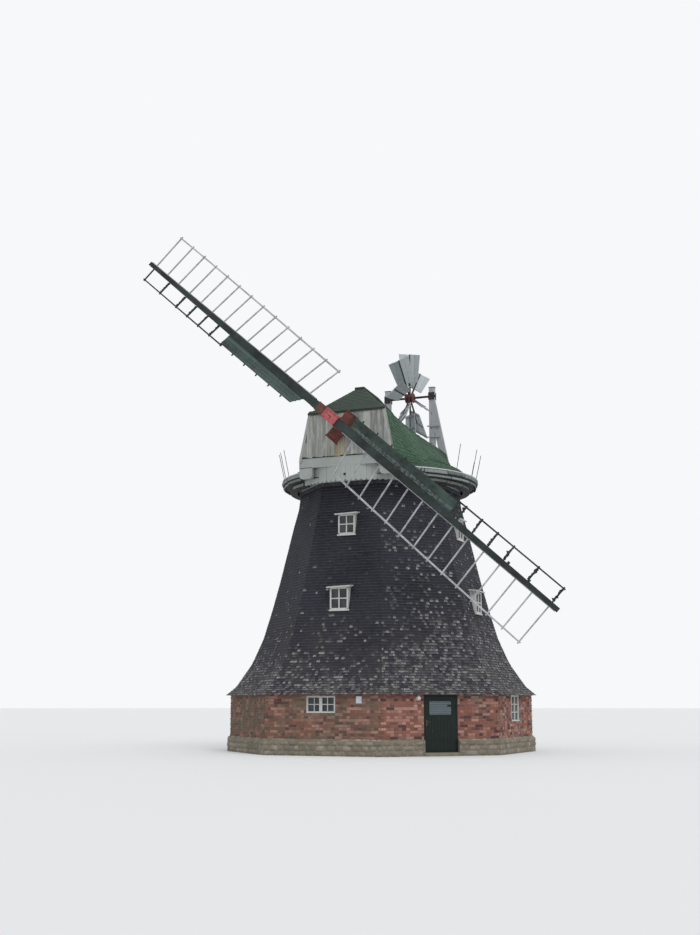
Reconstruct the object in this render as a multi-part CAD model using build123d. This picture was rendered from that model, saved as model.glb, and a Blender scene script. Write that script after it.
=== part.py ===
from build123d import *
import math
import os

os.makedirs("parts", exist_ok=True)

# Driving sizes in millimetres. Octagon sizes are centre to corner.
WALL_R = 5500.0          # brick wall
WALL_T = 350.0           # brick wall thickness
PLINTH_OUT = 110.0       # stone plinth stands out this far
PLINTH_H = 550.0
WALL_TOP = 2150.0
EAVE_Z = 2000.0
SLAB_T = 120.0
SMOCK_T = 220.0          # boards, shingles and framing together
SMOCK_TOP = 9410.0
FLOOR_T = 90.0
FLOOR_1 = 4000.0         # underside of the floor below the lower window row
FLOOR_2 = 6700.0
WIN_HALF = 345.0         # half width and height of the lower smock windows
WIN_H = 770.0
WIN_Z = 4890.0           # sill
TOP_WIN_HALF = 320.0     # the same of the upper ones
TOP_WIN_H = 710.0
TOP_WIN_Z = 7590.0
DOOR_HALF = 560.0        # clear half width of the doorway
DOOR_TOP = 1930.0
JAMB = 60.0
DOOR_GAP = 6.0
LEAF_T = 60.0
CURB_H = 210.0           # curb on top of the smock
RUN_GAP = 12.0           # the cap ring runs this high above the curb
SEAT = 0.3               # running clearance under runner blocks and in bearings
RING_H = 170.0
SHEER_H = 228.0
BEAM_H = 340.0           # white beam under the front boards
CAP_OUT = 690.0          # the cap's eave stands out past the smock's top corners
CAP_RISE = 3448.0        # ridge above the underside of the cap ring
ROOF_T = 110.0
CAP_TURN = 21.67         # cap heading at rest, degrees to the viewer's left
SHAFT_TILT = 8.97        # windshaft, degrees up towards the front
SHAFT_R = 210.0
NECK_R = 170.0
TAIL_R = 120.0
HUB_OUT = 1447.0         # stock centre in front of the front boards
HUB_H = 1879.0           # stock centre above the underside of the cap ring
STOCK_TURN = 41.18       # stock at rest, degrees off level
STOCK_L = 10760.0        # half length
STOCK_W0 = 310.0         # stock section at the hub and at the tip
STOCK_W1 = 160.0
BOX_T = 25.0             # wall of the iron box round the stock
POLL_T = 40.0            # plates of the empty box, bolted up from four
POLL_GAP = 1050.0        # from the stock to the empty box behind it
BAR_R0 = 1300.0          # first lattice bar from the hub's centre
BAR_PITCH = 705.0
BAR_N = 14
BAR_W = 40.0
RAIL_W = 50.0
TRAIL_W = 1520.0
LEAD_W = 620.0
BOARD_T = 30.0
TWIST_ROOT = 20.9
TWIST_TIP = 1.8
FAN_BACK = 3420.0        # fan axle behind the mill's axis
FAN_H = 4328.0           # fan axle above the underside of the cap ring
FAN_R = 1850.0
FAN_HALF = 950.0         # post centre from the cap's middle plane
FAN_TURN = -8.0          # first arm, degrees off upright
FAN_PITCH = 40.0
POST_W = 220.0
POST_D = 180.0
AXLE_R = 45.0
ROD_L = 1060.0
ROD_R = 12.0

C8 = math.cos(math.radians(22.5))
FLARE = 190.0
# outside of the smock: height, centre to corner
SMOCK = [(EAVE_Z, WALL_R + FLARE), (2300, WALL_R - 180), (2570, WALL_R - 370), (3080, WALL_R - 720),
         (3310, WALL_R - 840), (4060, WALL_R - 1170), (5160, WALL_R - 1500), (6200, WALL_R - 1780),
         (7150, WALL_R - 2010), (8150, WALL_R - 2250), (8900, WALL_R - 2450),
         (SMOCK_TOP, WALL_R - 2510)]
TOP_R = SMOCK[-1][1]
CAP_R = TOP_R + CAP_OUT
LINES_R = 3680.0         # eave radius that the cap's lines below are drawn for
PLAN = CAP_R / LINES_R
CAP_Z = SMOCK_TOP + CURB_H + RUN_GAP
SHEER_Z = RING_H + SHEER_H
GABLE_D = 3290.0 * PLAN
GABLE_T = 100.0
GABLE_BACK = GABLE_D - GABLE_T
REAR_D = -2600.0 * PLAN
HUB_D = GABLE_D + HUB_OUT
FAN_D = -FAN_BACK * PLAN
CORNER_S = 1800.0 * PLAN     # half width of the front boards at the beam
REACH = 2 * (CAP_R + CAP_RISE)   # past the cap on every side, for cutting it

# Facets: -1 is left front, 0 is right front. Windows in the smock are on every second facet.
DOOR_FACET = 0
WIN_FACETS = (-1, 1, 3, 5)


def save(shape, name):
    export_step(shape, "parts/" + name + ".step")


def group(shapes):
    return Compound([s for shape in shapes for s in shape.solids()])


def octagon(r, z0, z1):
    pts = [(r * math.cos(math.radians(-90 + 45 * k)), r * math.sin(math.radians(-90 + 45 * k)))
           for k in range(8)]
    return extrude(Pos(0, 0, z0) * make_face(Polyline(*pts, close=True)), z1 - z0, dir=(0, 0, 1))


def prism(sides, r, z0, z1):
    """An upright prism with many sides; r is centre to corner."""
    return Pos(0, 0, z0) * extrude(RegularPolygon(r, sides), z1 - z0, dir=(0, 0, 1))


def facet(k):
    """Turns x (outwards) and y (along the wall) into the facet between corner k and k + 1."""
    return Rot(0, 0, -90 + 45 * (k + 0.5))


def panel(profile, width):
    """A closed outline of (outwards, height), drawn out along the wall."""
    face = make_face(Polyline(*[(x, 0, z) for x, z in profile], close=True))
    return extrude(face, width, both=True, dir=(0, 1, 0))


def wedge(z0, z1):
    far = 2 * WALL_R
    t = math.tan(math.radians(22.5)) * far
    return extrude(Pos(0, 0, z0) * make_face(Polyline((0, 0), (far, -t), (far, t), close=True)),
                   z1 - z0, dir=(0, 0, 1))


def box(x0, x1, y0, y1, z0, z1):
    return Pos((x0 + x1) / 2, (y0 + y1) / 2, (z0 + z1) / 2) * Box(x1 - x0, y1 - y0, z1 - z0)


def smock_x(z, inner=False):
    """Distance of the smock's flat side from the axis at a height."""
    pts = SMOCK
    for (z0, r0), (z1, r1) in zip(pts, pts[1:]):
        if z <= z1:
            break
    x = (r0 + (r1 - r0) * (z - z0) / (z1 - z0)) * C8
    return x - SMOCK_T if inner else x


def skin(sections, loop=False, flat=True):
    """Closed body through outlines that have the same number of points."""
    faces = []
    m = len(sections[0])
    pairs = list(zip(sections, sections[1:]))
    if loop:
        pairs.append((sections[-1], sections[0]))
    for a, b in pairs:
        for j in range(m):
            k = (j + 1) % m
            if flat:
                faces.append([a[j], a[k], b[k], b[j]])
            else:
                faces.append([a[j], a[k], b[k]])
                faces.append([a[j], b[k], b[j]])
    if not loop:
        faces.append(sections[0])
        faces.append(list(reversed(sections[-1])))
    return Solid(Shell([Face(Wire.make_polygon(f, close=True)) for f in faces]))


def base_windows():
    """Facet, from, to along the wall, sill and head of each window in the brick wall."""
    return [(-1, -620, 430, 1390, 1950), (1, -470, 470, 1090, 1990), (3, -470, 470, 1090, 1990),
            (5, -470, 470, 1090, 1990)]


def smock_windows():
    out = []
    for k in WIN_FACETS:
        out.append((k, WIN_HALF, WIN_Z, WIN_Z + WIN_H))
        out.append((k, TOP_WIN_HALF, TOP_WIN_Z, TOP_WIN_Z + TOP_WIN_H))
    return out


def tower():
    xo = WALL_R * C8
    xi = xo - WALL_T
    wed = wedge(-10, SMOCK_TOP)
    half = DOOR_HALF + JAMB
    rows = {"a": [], "b": []}
    plinth = {"a": [], "b": []}
    for k in range(-1, 7):
        key = "a" if k % 2 else "b"
        prof = [(xi, PLINTH_H), (xo, PLINTH_H), (xo, WALL_TOP), (xi, WALL_TOP)]
        wall = panel(prof, WALL_R) & wed
        pl = panel([(xi, 0), (xo + PLINTH_OUT, 0), (xo + PLINTH_OUT, PLINTH_H - 60), (xo, PLINTH_H),
                    (xi, PLINTH_H)], WALL_R) & wed
        for (f, y0, y1, z0, z1) in base_windows():
            if f == k:
                wall -= box(xi - 50, xo + 50, y0, y1, z0, z1)
        if k == DOOR_FACET:
            pl -= box(xi - 50, xo + 300, -half, half, -10, PLINTH_H + 10)
            over = box(xi - 50, xo + 50, -half, half, DOOR_TOP + JAMB, WALL_TOP + 10)
            save(facet(k) * (wall & over), "wall_over_door")
            wall -= box(xi - 50, xo + 50, -half, half, PLINTH_H - 10, WALL_TOP + 10)
        rows[key] += [facet(k) * s for s in wall.solids()]
        plinth[key] += [facet(k) * s for s in pl.solids()]
    save(Compound(rows["a"]), "brick_walls_a")
    save(Compound(rows["b"]), "brick_walls_b")
    save(Compound(plinth["a"]), "stone_plinth_a")
    save(Compound(plinth["b"]), "stone_plinth_b")
    slab = octagon((xi - SEAT) / C8, 0, SLAB_T)
    sill = facet(DOOR_FACET) * box(xi - SEAT, xo + 60, -half, half, 0, SLAB_T)
    save(slab + sill, "ground_floor")


def curb_hole():
    """Radius of the round hole in the curb."""
    return TOP_R - 490


def smock():
    out = [(r * C8, z) for z, r in SMOCK]
    x0 = WALL_R * C8
    foot = x0 - WALL_T - 110
    inner = [(min(foot, smock_x(z, True)), z) for z, r in SMOCK[1:]]
    prof = out + list(reversed(inner)) + [(inner[0][0] + 60, WALL_TOP), (x0, WALL_TOP), (x0, EAVE_Z)]
    wed = wedge(EAVE_Z - 50, SMOCK_TOP + 50)
    side = panel(prof, 3000) & wed
    groups = {"a": [], "b": []}
    for k in range(-1, 7):
        s = side
        for (f, h, z0, z1) in smock_windows():
            if f == k:
                s = s - box(smock_x(z1, True) - 100, smock_x(z0) + 400, -h, h, z0, z1)
        groups["a" if k % 2 else "b"].append(facet(k) * s)
    save(group(groups["a"]), "smock_sides_a")
    save(group(groups["b"]), "smock_sides_b")
    for name, z in (("floor_1", FLOOR_1), ("floor_2", FLOOR_2)):
        r = min(smock_x(z, True), smock_x(z + FLOOR_T, True)) / C8 - SEAT
        save(octagon(r, z, z + FLOOR_T), name)
    ring = octagon(TOP_R + 50, SMOCK_TOP, SMOCK_TOP + CURB_H) \
        - prism(24, curb_hole(), SMOCK_TOP - 10, SMOCK_TOP + CURB_H + 10)
    save(ring, "curb_ring")
    return side


def sash(w, z0, z1, cols, rows, depth, rim=55.0, bar=28.0):
    """A window frame with its bars, seen from outside along x, centred on y, and its panes."""
    frame = box(0, depth, -w, w, z0, z1)
    panes = []
    pw = (2 * w - 2 * rim - (cols - 1) * bar) / cols
    ph = (z1 - z0 - 2 * rim - (rows - 1) * bar) / rows
    for i in range(cols):
        for j in range(rows):
            y = -w + rim + i * (pw + bar)
            z = z0 + rim + j * (ph + bar)
            frame -= box(-5, depth + 5, y, y + pw, z, z + ph)
            panes.append(box(depth / 2 - 3, depth / 2 + 3, y, y + pw, z, z + ph))
    return frame, panes


def windows(wall):
    frames, panes, hoods = [], [], []
    for (k, h, z0, z1) in smock_windows():
        xo = smock_x(z0) + 40
        f, p = sash(h, z0, z1, 2, 2, 60)
        at = facet(k) * Pos(xo - 60, 0, 0)
        frames.append(at * f)
        panes += [at * q for q in p]
        side = panel([(xo - 60, z0), (xo - 60, z1), (smock_x(z1) - 120, z1), (smock_x(z0) - 120, z0)], 18)
        cheeks = Pos(0, h - 18, 0) * side + Pos(0, -h + 18, 0) * side
        hood = box(smock_x(z1) - 120, xo + 50, -h - 45, h + 45, z1, z1 + 34)
        hoods.append(facet(k) * (cheeks + hood - wall))
    save(group(frames), "smock_window_frames")
    save(group(hoods), "window_hoods")
    wf = []
    for (k, y0, y1, z0, z1) in base_windows():
        cols, rows = (4, 2) if y1 - y0 > 1000 else (2, 3)
        f, p = sash((y1 - y0) / 2, z0, z1, cols, rows, 70)
        at = facet(k) * Pos(WALL_R * C8 - 90, (y0 + y1) / 2, 0)
        wf.append(at * f)
        panes += [at * q for q in p]
    save(group(wf), "base_window_frames")
    save(Compound(panes), "window_panes")


def upright(r, x, y, z0, z1):
    return Pos(x, y, (z0 + z1) / 2) * Cylinder(r, z1 - z0)


def doorway():
    """Frame, leaf and glass, hung on two pin hinges on the side away from the corner."""
    xo = WALL_R * C8
    half, top = DOOR_HALF + JAMB, DOOR_TOP + JAMB
    front = xo - 15
    pin_x, pin_y, pin_r = xo - 1, DOOR_HALF - 3, 8.0
    fr = box(xo - 130, front, -half, half, SLAB_T, top) \
        - box(xo - 200, xo + 100, -DOOR_HALF, DOOR_HALF, SLAB_T - 10, DOOR_TOP)
    y = DOOR_HALF - DOOR_GAP
    leaf = box(front - LEAF_T, front, -y, y, SLAB_T + DOOR_GAP, DOOR_TOP - DOOR_GAP)
    y_a = DOOR_HALF - 150
    z_a, z_b = DOOR_TOP - 600, DOOR_TOP - 150
    leaf -= box(xo - 100, xo + 50, -y_a, y_a, z_a, z_b)
    for z in (SLAB_T + 330, DOOR_TOP - 300):
        strap = box(front, front + 6, y - 300, y, z - 25, z + 25)
        knuckle = upright(13, pin_x, pin_y, z - 25, z + 25)
        bore = upright(pin_r + SEAT, pin_x, pin_y, z - 30, z + 30)
        leaf += strap + knuckle - bore
        leaf -= bore
        hold = box(front, front + 10, DOOR_HALF + 14, half - 5, z - 65, z + 40)
        arm = box(xo - 9, xo + 7, pin_y, DOOR_HALF + 20, z - 65, z - 25 - SEAT)
        fr += hold + arm + upright(pin_r, pin_x, pin_y, z - 60, z + 35)
    save(facet(DOOR_FACET) * fr, "door_frame")
    save(facet(DOOR_FACET) * leaf, "door_leaf")
    mid = front - LEAF_T / 2
    save(facet(DOOR_FACET) * box(mid - 4, mid + 4, -y_a, y_a, z_a, z_b), "door_pane")
    lamp = facet(DOOR_FACET) * Pos(xo, -826, 1874) * Rot(0, 90, 0) * (prism(16, 85, 0, 40) + prism(16, 70, 40, 80))
    save(lamp, "wall_lamp")


# The cap is drawn about its turning axis, from the underside of its ring, with its front to -y.
CAP = Pos(0, 0, CAP_Z) * Rot(0, 0, -CAP_TURN)

# Roof ribs from front to rear: distance forward, then (sideways, height) from the ridge to the foot
ROOF = [(3190, [(1354, 2508), (1400, 2473), (1480, 2398), (1630, 1618), (1800, 768), (1815, 310)]),
        (2850, [(1000, 2748), (1200, 2608), (1490, 2328), (1720, 1538), (1980, 728), (2040, 340)]),
        (2050, [(180, 3448), (760, 2868), (1450, 2118), (1850, 1368), (2330, 638), (2420, 400)]),
        (600, [(150, 3348), (800, 2698), (1450, 2048), (2000, 1268), (2480, 668), (2600, 450)]),
        (-900, [(150, 3088), (800, 2518), (1450, 1958), (2000, 1318), (2540, 768), (2720, 470)]),
        (-2000, [(150, 2698), (760, 2368), (1560, 1928), (1900, 1448), (2350, 898), (2600, 380)]),
        (-2600, [(900, 1768), (1500, 1758), (1780, 1738), (1870, 1418), (2150, 868), (2320, 320)])]
LINES_RISE = 3448.0      # ridge height that the ribs are drawn for
LINES_FOOT = 800.0       # below this the ribs keep their height
RISE = (CAP_RISE - LINES_FOOT) / (LINES_RISE - LINES_FOOT)


def rib_z(z):
    return z if z <= LINES_FOOT else LINES_FOOT + (z - LINES_FOOT) * RISE


def ribs():
    lines = [(d * PLAN, [(s * PLAN, rib_z(z)) for s, z in pts]) for d, pts in ROOF]
    lines[0] = (GABLE_BACK, lines[0][1])
    return lines


def rib_points(pts, t):
    """One side of a rib, pulled in by t square to the slope, and by more under the flat top."""
    side = []
    for j, (s, z) in enumerate(pts):
        a, b = pts[max(j - 1, 0)], pts[min(j + 1, len(pts) - 1)]
        ds, dz = b[0] - a[0], b[1] - a[1]
        ln = math.hypot(ds, dz)
        side.append((s + t * dz / ln, z - t * ds / ln))
    if t:
        (s0, z0), (s1, z1) = side[0], side[1]
        z_top = pts[0][1] - 1.35 * t
        k = (z_top - z0) / (z1 - z0) if abs(z1 - z0) > 40 else 0.0
        side[0] = (s0 + (s1 - s0) * min(k, 0.6), z0 + (z1 - z0) * min(k, 0.6))
        side[0] = (max(side[0][0], 20.0), min(side[0][1], z_top))
    return side


def roof_solid(t, drop, ends):
    """The roof's body pulled in by t, its foot lowered by drop and its ends moved out by ends."""
    secs = []
    lines = ribs()
    for i, (d, pts) in enumerate(lines):
        d = d + (ends if i == 0 else -ends if i == len(lines) - 1 else 0)
        side = rib_points(pts, t)
        s, z = side[-1]
        side[-1] = (s, z - drop)
        secs.append([(s, -d, z) for s, z in side] + [(-s, -d, z) for s, z in reversed(side)])
    return skin(secs, flat=False)


def hip_eave():
    """The front hip's boards run on past the front wall as a small eave."""
    d0, d1 = GABLE_BACK, GABLE_D + 60 * PLAN
    z = rib_z(ROOF[0][1][0][1])
    fall = (ROOF[1][1][0][1] - ROOF[0][1][0][1]) / (ROOF[1][0] - ROOF[0][0])
    drop = -fall * (d1 - d0)
    prof = [(-d0, z), (-d1, z - abs(drop)), (-d1, z - abs(drop) - 70), (-d0, z - 110)]
    half = 1490.0 * PLAN
    return skin([[(s, y, h) for y, h in prof] for s in (-half, half)])


def roof():
    outer = roof_solid(0, 0, 0)
    shell = outer - roof_solid(ROOF_T, 300, 80) + hip_eave()
    save(CAP * (shell & box(0, REACH, -REACH, REACH, -REACH, REACH)), "roof_right")
    save(CAP * (shell & box(-REACH, 0, -REACH, REACH, -REACH, REACH)), "roof_left")
    top = [(d, pts[0][1]) for d, pts in ribs() if pts[0][0] < 200 * PLAN]
    half = 185.0 * PLAN
    secs = [[(-half, -d, z), (-half, -d, z + 100), (half, -d, z + 100), (half, -d, z)] for d, z in top]
    save(CAP * skin(secs, flat=False), "ridge_cap")
    return outer


def end_wall(i, d_out, d_in):
    """An upright wall with the outline of one rib."""
    pts = ribs()[i][1]
    outline = pts + [(-s, z) for s, z in reversed(pts)]
    face = make_face(Polyline(*[(s, -d_out, z) for s, z in outline], close=True))
    return extrude(face, abs(d_out - d_in), dir=(0, 1 if d_out > d_in else -1, 0))


def arc_wall(r, t, half_angle, n, z0, z1):
    """A curved wall of n flat boards in front of the turning axis."""
    secs = []
    for i in range(n + 1):
        a = math.radians(-half_angle + 2 * half_angle * i / n)
        s, c = math.sin(a), math.cos(a)
        ring = [(r - t, z0), (r, z0), (r, z1), (r - t, z1)]
        secs.append([(q * s, -q * c, z) for q, z in ring])
    return skin(secs)


APRON_R = CAP_R - 310
APRON_HALF = 33.0        # degrees either side of the front
APRON_Z = -162.0         # lower edge of the white apron


def corbel(x):
    """A square timber end with its lower front edge rounded."""
    w, z0, z1 = 250.0, -2.0, SHEER_Z
    b = box(x - w, x + w, -GABLE_D - 85, -GABLE_BACK, z0, z1)
    edges = b.edges().filter_by(Axis.Y).group_by(Axis.Z)[0]
    return fillet(edges, 130)


def rear_wall(sheers):
    wall = end_wall(len(ROOF) - 1, REAR_D, REAR_D - GABLE_T)
    for s in sheers:
        wall -= s
    save(CAP * wall, "rear_wall")
    return wall


def cap_walls(shaft_hole, sheers, ring):
    wall = end_wall(0, GABLE_D, GABLE_BACK) - hip_eave() - shaft_hole
    band = box(-CORNER_S - 20, CORNER_S + 20, -GABLE_D - 60, -GABLE_BACK, SHEER_Z, SHEER_Z + BEAM_H)
    boards = wall - band - box(-REACH, REACH, -REACH, 0, -REACH, SHEER_Z)
    save(CAP * max(boards.solids(), key=lambda q: q.volume), "front_wall")
    save(CAP * band, "front_beam")
    feet = [corbel(x) for x in (-CORNER_S + 250, CORNER_S - 250)]
    save(CAP * Compound([s for f in feet for s in f.solids()]), "corbels")
    apron = arc_wall(APRON_R, 40, APRON_HALF, 12, APRON_Z, SHEER_Z)
    for s in sheers + feet + [ring]:
        apron -= s
    save(CAP * max(apron.solids(), key=lambda q: q.volume), "petticoat")


def along(y):
    """Height of the windshaft's axis above the cap ring, at a place y in the cap."""
    return HUB_H - (y + HUB_D) * math.tan(math.radians(SHAFT_TILT))


def rotor():
    """Sail frame in the cap: -y points forwards along the windshaft, origin at the stock's centre."""
    return Pos(0, -HUB_D, HUB_H) * Rot(-SHAFT_TILT, 0, 0)


def shaft_cyl(r, y0, y1):
    """A cylinder along the windshaft, from y0 to y1 behind the stock's centre, in the cap's frame."""
    return rotor() * Pos(0, (y0 + y1) / 2, 0) * Rot(90, 0, 0) * Cylinder(r, y1 - y0)


NECK_Y = -2850.0 * PLAN
TAIL_UP = 457.0          # shaft's axis over the sheers at the tail bearing, at the least
TAIL_Y = min(1750.0 * PLAN, (HUB_H - SHEER_Z - TAIL_UP) / math.tan(math.radians(SHAFT_TILT)) - HUB_D)
SHEER_S = 1520.0 * PLAN
SHEER_HALF = 180.0


def cap_frame():
    """Ring with its runner blocks, the two long sheers and the cross timbers."""
    r_out, r_in = TOP_R - 130, TOP_R - 640
    ring = prism(24, r_out, 0, RING_H) - prism(24, r_in, -10, RING_H + 10)
    block = box(curb_hole() + 90, curb_hole() + 230, -150, 150, SEAT - RUN_GAP, 0)
    for i in range(12):
        ring += Rot(0, 0, 30 * i + 15) * block
    save(CAP * ring, "cap_ring")
    z0, z1 = RING_H, SHEER_Z
    rear = -FAN_D + 200
    sheers = [box(s - SHEER_HALF, s + SHEER_HALF, -GABLE_BACK, rear, z0, z1) for s in (-SHEER_S, SHEER_S)]
    side, out = SHEER_S - SHEER_HALF, SHEER_S + SHEER_HALF
    end = TOP_R - 510
    cross = [box(a, b, y, y + 250, z0, z1) for y in (-1450, 1200) for a, b in ((-end, -out), (-side, side), (out, end))]
    tail = box(-2300 * PLAN, 2300 * PLAN, -FAN_D - 120, -FAN_D + 120, z1, z1 + 220)
    save(CAP * Compound([q.solids()[0] for q in sheers]), "cap_sheers")
    save(CAP * Compound([q.solids()[0] for q in cross + [tail]]), "cap_cross_beams")
    return sheers, cross + [tail]


def bearings():
    """Timbers across the cap and the two blocks that carry the windshaft."""
    timbers, blocks = [], []
    for y, z_beam, r, span in ((NECK_Y, along(NECK_Y) - 230, NECK_R, 1600 * PLAN),
                               (TAIL_Y, along(TAIL_Y) - 230, TAIL_R, 1640 * PLAN)):
        beam = box(-span, span, y - 125, y + 125, z_beam - 200, z_beam)
        if z_beam - 200 > SHEER_Z + 1:
            for s in (-SHEER_S, SHEER_S):
                beam += box(s - 120, s + 120, y - 125, y + 125, SHEER_Z, z_beam - 200)
        timbers.append(beam)
        block = box(-r - 150, r + 150, y - 100, y + 100, z_beam, along(y))
        blocks.append(block - shaft_cyl(r + SEAT, 0, 9000))
    save(CAP * Compound([s for b in timbers for s in b.solids()]), "shaft_beams")
    save(CAP * Compound([s for b in blocks for s in b.solids()]), "shaft_bearings")


def skirt(inside):
    """Flared ring all round the cap under the roof, open at the front, with two fascia boards."""
    prof = [(CAP_R, 268), (CAP_R - 350, 398), (CAP_R - 610, 618), (CAP_R - 980, 788), (CAP_R - 1430, 998),
            (CAP_R - 1430, 928), (CAP_R - 980, 718), (CAP_R - 630, 553), (CAP_R - 370, 333),
            (CAP_R - 60, 218), (CAP_R - 80, 128), (APRON_R - 30, 38), (APRON_R - 30, APRON_Z + 40),
            (APRON_R - 250, APRON_Z + 40), (APRON_R - 250, APRON_Z), (APRON_R + 15, APRON_Z - 5),
            (APRON_R + 20, 8), (CAP_R - 40, 88)]
    n = 36
    secs = []
    for i in range(n):
        a = 2 * math.pi * (i + 0.5) / n
        secs.append([(r * math.sin(a), -r * math.cos(a), z) for r, z in prof])
    ring = skin(secs, loop=True)
    ring -= box(-5000, 5000, -6000, -GABLE_BACK, -1000, 3000)
    reach = 5000.0
    t = math.tan(math.radians(APRON_HALF)) * reach
    ring -= extrude(Pos(0, 0, -1000) * make_face(Polyline((0, 0), (t, -reach), (-t, -reach), close=True)),
                    1040, dir=(0, 0, 1))
    for s in inside:
        ring -= s
    ring = max(ring.solids(), key=lambda q: q.volume)
    save(CAP * ring, "skirt")
    return ring


def rods(ring):
    out = []
    for ang in (-61, -55, -47, 71, 91, 109, 128):
        a = math.radians(ang)
        r = CAP_R - 80
        rod = Pos(r * math.sin(a), -r * math.cos(a), 250) * Rot(0, 0, ang - 90) * Rot(0, 12, 0) \
            * prism(6, ROD_R, 0, ROD_L)
        out.append(CAP * (rod - ring))
    save(Compound([max(p.solids(), key=lambda q: q.center().Z) for p in out]), "rods")


def fan_frame():
    """Two posts with raking struts on the tail beam, and two rungs on the right one."""
    posts = []
    foot = SHEER_Z + 220
    w, dp = POST_W / 2, POST_D / 2
    for sgn in (-1, 1):
        x = sgn * FAN_HALF
        p = box(x - w, x + w, -FAN_D - dp, -FAN_D + dp, foot, FAN_H + 360)
        edge = x + sgn * w
        strut = make_face(Polyline((edge, 0, FAN_H - 100), (edge, 0, FAN_H - 1500), (x + sgn * 560, 0, foot),
                                   (x + sgn * 860, 0, foot), close=True))
        p += Pos(0, -FAN_D, 0) * extrude(strut, 60, both=True, dir=(0, 1, 0))
        if sgn > 0:
            for z in (FAN_H - 1250, FAN_H - 1700):
                p += box(x - 190, x + 340, -FAN_D - dp - 40, -FAN_D - dp, z - 25, z + 25)
        posts.append(p - Pos(x, -FAN_D, FAN_H) * Rot(0, 90, 0) * Cylinder(AXLE_R + SEAT, 600))
    save(CAP * Compound([s for p in posts for s in p.solids()]), "fan_posts")


FAN_MISSING = ()


def fan_blade():
    """A tapering board, narrow at the hub, set at a pitch to the wheel."""
    r0, r1, w0, w1, t = FAN_R * 0.37, FAN_R, 200.0, 320.0, 12.0
    secs = [[(-w, -t, r), (w, -t, r), (w, t, r), (-w, t, r)] for w, r in ((w0, r0), (w1, r1))]
    return Rot(0, 0, FAN_PITCH) * skin(secs)


def fantail():
    axle = Rot(0, 90, 0) * Cylinder(AXLE_R, 2 * FAN_HALF + 300)
    hub = Rot(0, 90, 0) * prism(16, 150, -130, 130)
    wheel = hub
    for i in range(8):
        wheel += Rot(i * 45 + FAN_TURN, 0, 0) * box(-30, 30, -30, 30, 0, FAN_R * 0.66)
    wheel += axle
    at = CAP * Pos(0, -FAN_D, FAN_H)
    save(at * wheel, "fan_wheel")
    blades = []
    for i in range(8):
        if i not in FAN_MISSING:
            b = Rot(i * 45 + FAN_TURN, 0, 0) * fan_blade() - wheel
            blades.append(at * b)
    save(Compound([s for b in blades for s in b.solids()]), "fan_blades")


def twist(r):
    t = (r - BAR_R0) / (BAR_PITCH * (BAR_N - 1))
    return TWIST_ROOT + (TWIST_TIP - TWIST_ROOT) * min(max(t, 0), 1)


def turned(r, y, z, lead):
    """A point at r along the stock, turned with the sail's twist to the leading or trailing side."""
    a = math.radians(twist(r) if lead > 0 else 180 + twist(r))
    return (r, y * math.cos(a) - z * math.sin(a), y * math.sin(a) + z * math.cos(a))


def plank(stations, lead):
    """A twisted board through (r, z from, z to, y from, y to)."""
    secs = []
    for r, z0, z1, y0, y1 in stations:
        secs.append([turned(r, y, z, lead) for y, z in ((y0, z0), (y1, z0), (y1, z1), (y0, z1))])
    return skin(secs, flat=False)


def bar(r, width, lead):
    w = BAR_W / 2
    a = -twist(r) if lead > 0 else 180 - twist(r)
    return Rot(a, 0, 0) * box(r - w, r + w, -25, 25, 20, width + 40)


def rail(lead, r_a, r_b, width):
    n = 6
    rr = [r_a + (r_b - r_a) * i / n for i in range(n + 1)]
    return plank([(r, width - RAIL_W / 2, width + RAIL_W / 2, -30, 30) for r in rr], lead)


def lattice_side():
    body = rail(-1, BAR_R0 - 60, BAR_R0 + BAR_PITCH * (BAR_N - 1) + 60, TRAIL_W)
    for i in range(BAR_N):
        body += bar(BAR_R0 + BAR_PITCH * i, TRAIL_W, -1)
    return body


LEAD_BARS = (6, 7, 8, 9, 10, 11.5, 13)
BOARD_END = {"upper": 6.03, "lower": 6.53}       # windboards reach this many pitches past the first bar
BOARD_ROOT = {"upper": -0.14, "lower": -0.42}


def leading_side(name):
    """Windboards near the hub, then what is left of the bars and their rail."""
    end = BAR_R0 + BAR_PITCH * BOARD_END[name]
    root = BAR_R0 + BAR_PITCH * BOARD_ROOT[name]
    n = 5
    rr = [root + (end - root) * i / n for i in range(n + 1)]
    stations = [(r, 60, LEAD_W - 25, -25 - BOARD_T, -25) for r in rr]
    boards = plank(stations, 1)
    if name == "upper":
        past = LEAD_W + 200
        cut = Polyline((root - 50, 0, 90), (root - 50, 0, past), (root + 400, 0, past), close=True)
        boards -= extrude(make_face(cut), 600, both=True, dir=(0, 1, 0))
    body = rail(1, end - 60, BAR_R0 + BAR_PITCH * (BAR_N - 1) + 60, LEAD_W) + boards
    for i in LEAD_BARS:
        body += bar(BAR_R0 + BAR_PITCH * i, LEAD_W, 1)
    if name == "lower":
        body += bar(BAR_R0 + BAR_PITCH * 5, LEAD_W, 1)
    return body


def stock():
    """Square tapering beam, thickest at the hub."""
    a, b = STOCK_W0 / 2, STOCK_W1 / 2
    return skin([[(x, -h, -h), (x, h, -h), (x, h, h), (x, -h, h)] for x, h in ((-STOCK_L, b), (0, a), (STOCK_L, b))])


def poll(beam):
    """Iron box round the stock with its clamp and the neck behind it, and the empty box for a second stock."""
    h = STOCK_W0 / 2 + BOX_T
    sleeve = box(-400, 200, -h, h, -h, h) + box(200, 580, -h + 8, h - 8, -h + 8, h - 8)
    sleeve = Rot(0, 180, 0) * sleeve - beam
    back0, back1 = POLL_GAP - h, POLL_GAP + h
    t = POLL_T
    gap = t + SEAT
    empty = [box(-h, -h + t, back0, back1, -600, 600), box(h - t, h, back0, back1, -600, 600),
             box(-h + gap, h - gap, back0, back0 + t, -600, 600), box(-h + gap, h - gap, back1 - t, back1, -600, 600)]
    neck = box(-160, 160, h, back0, -160, 160)
    return sleeve + neck, empty


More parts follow.
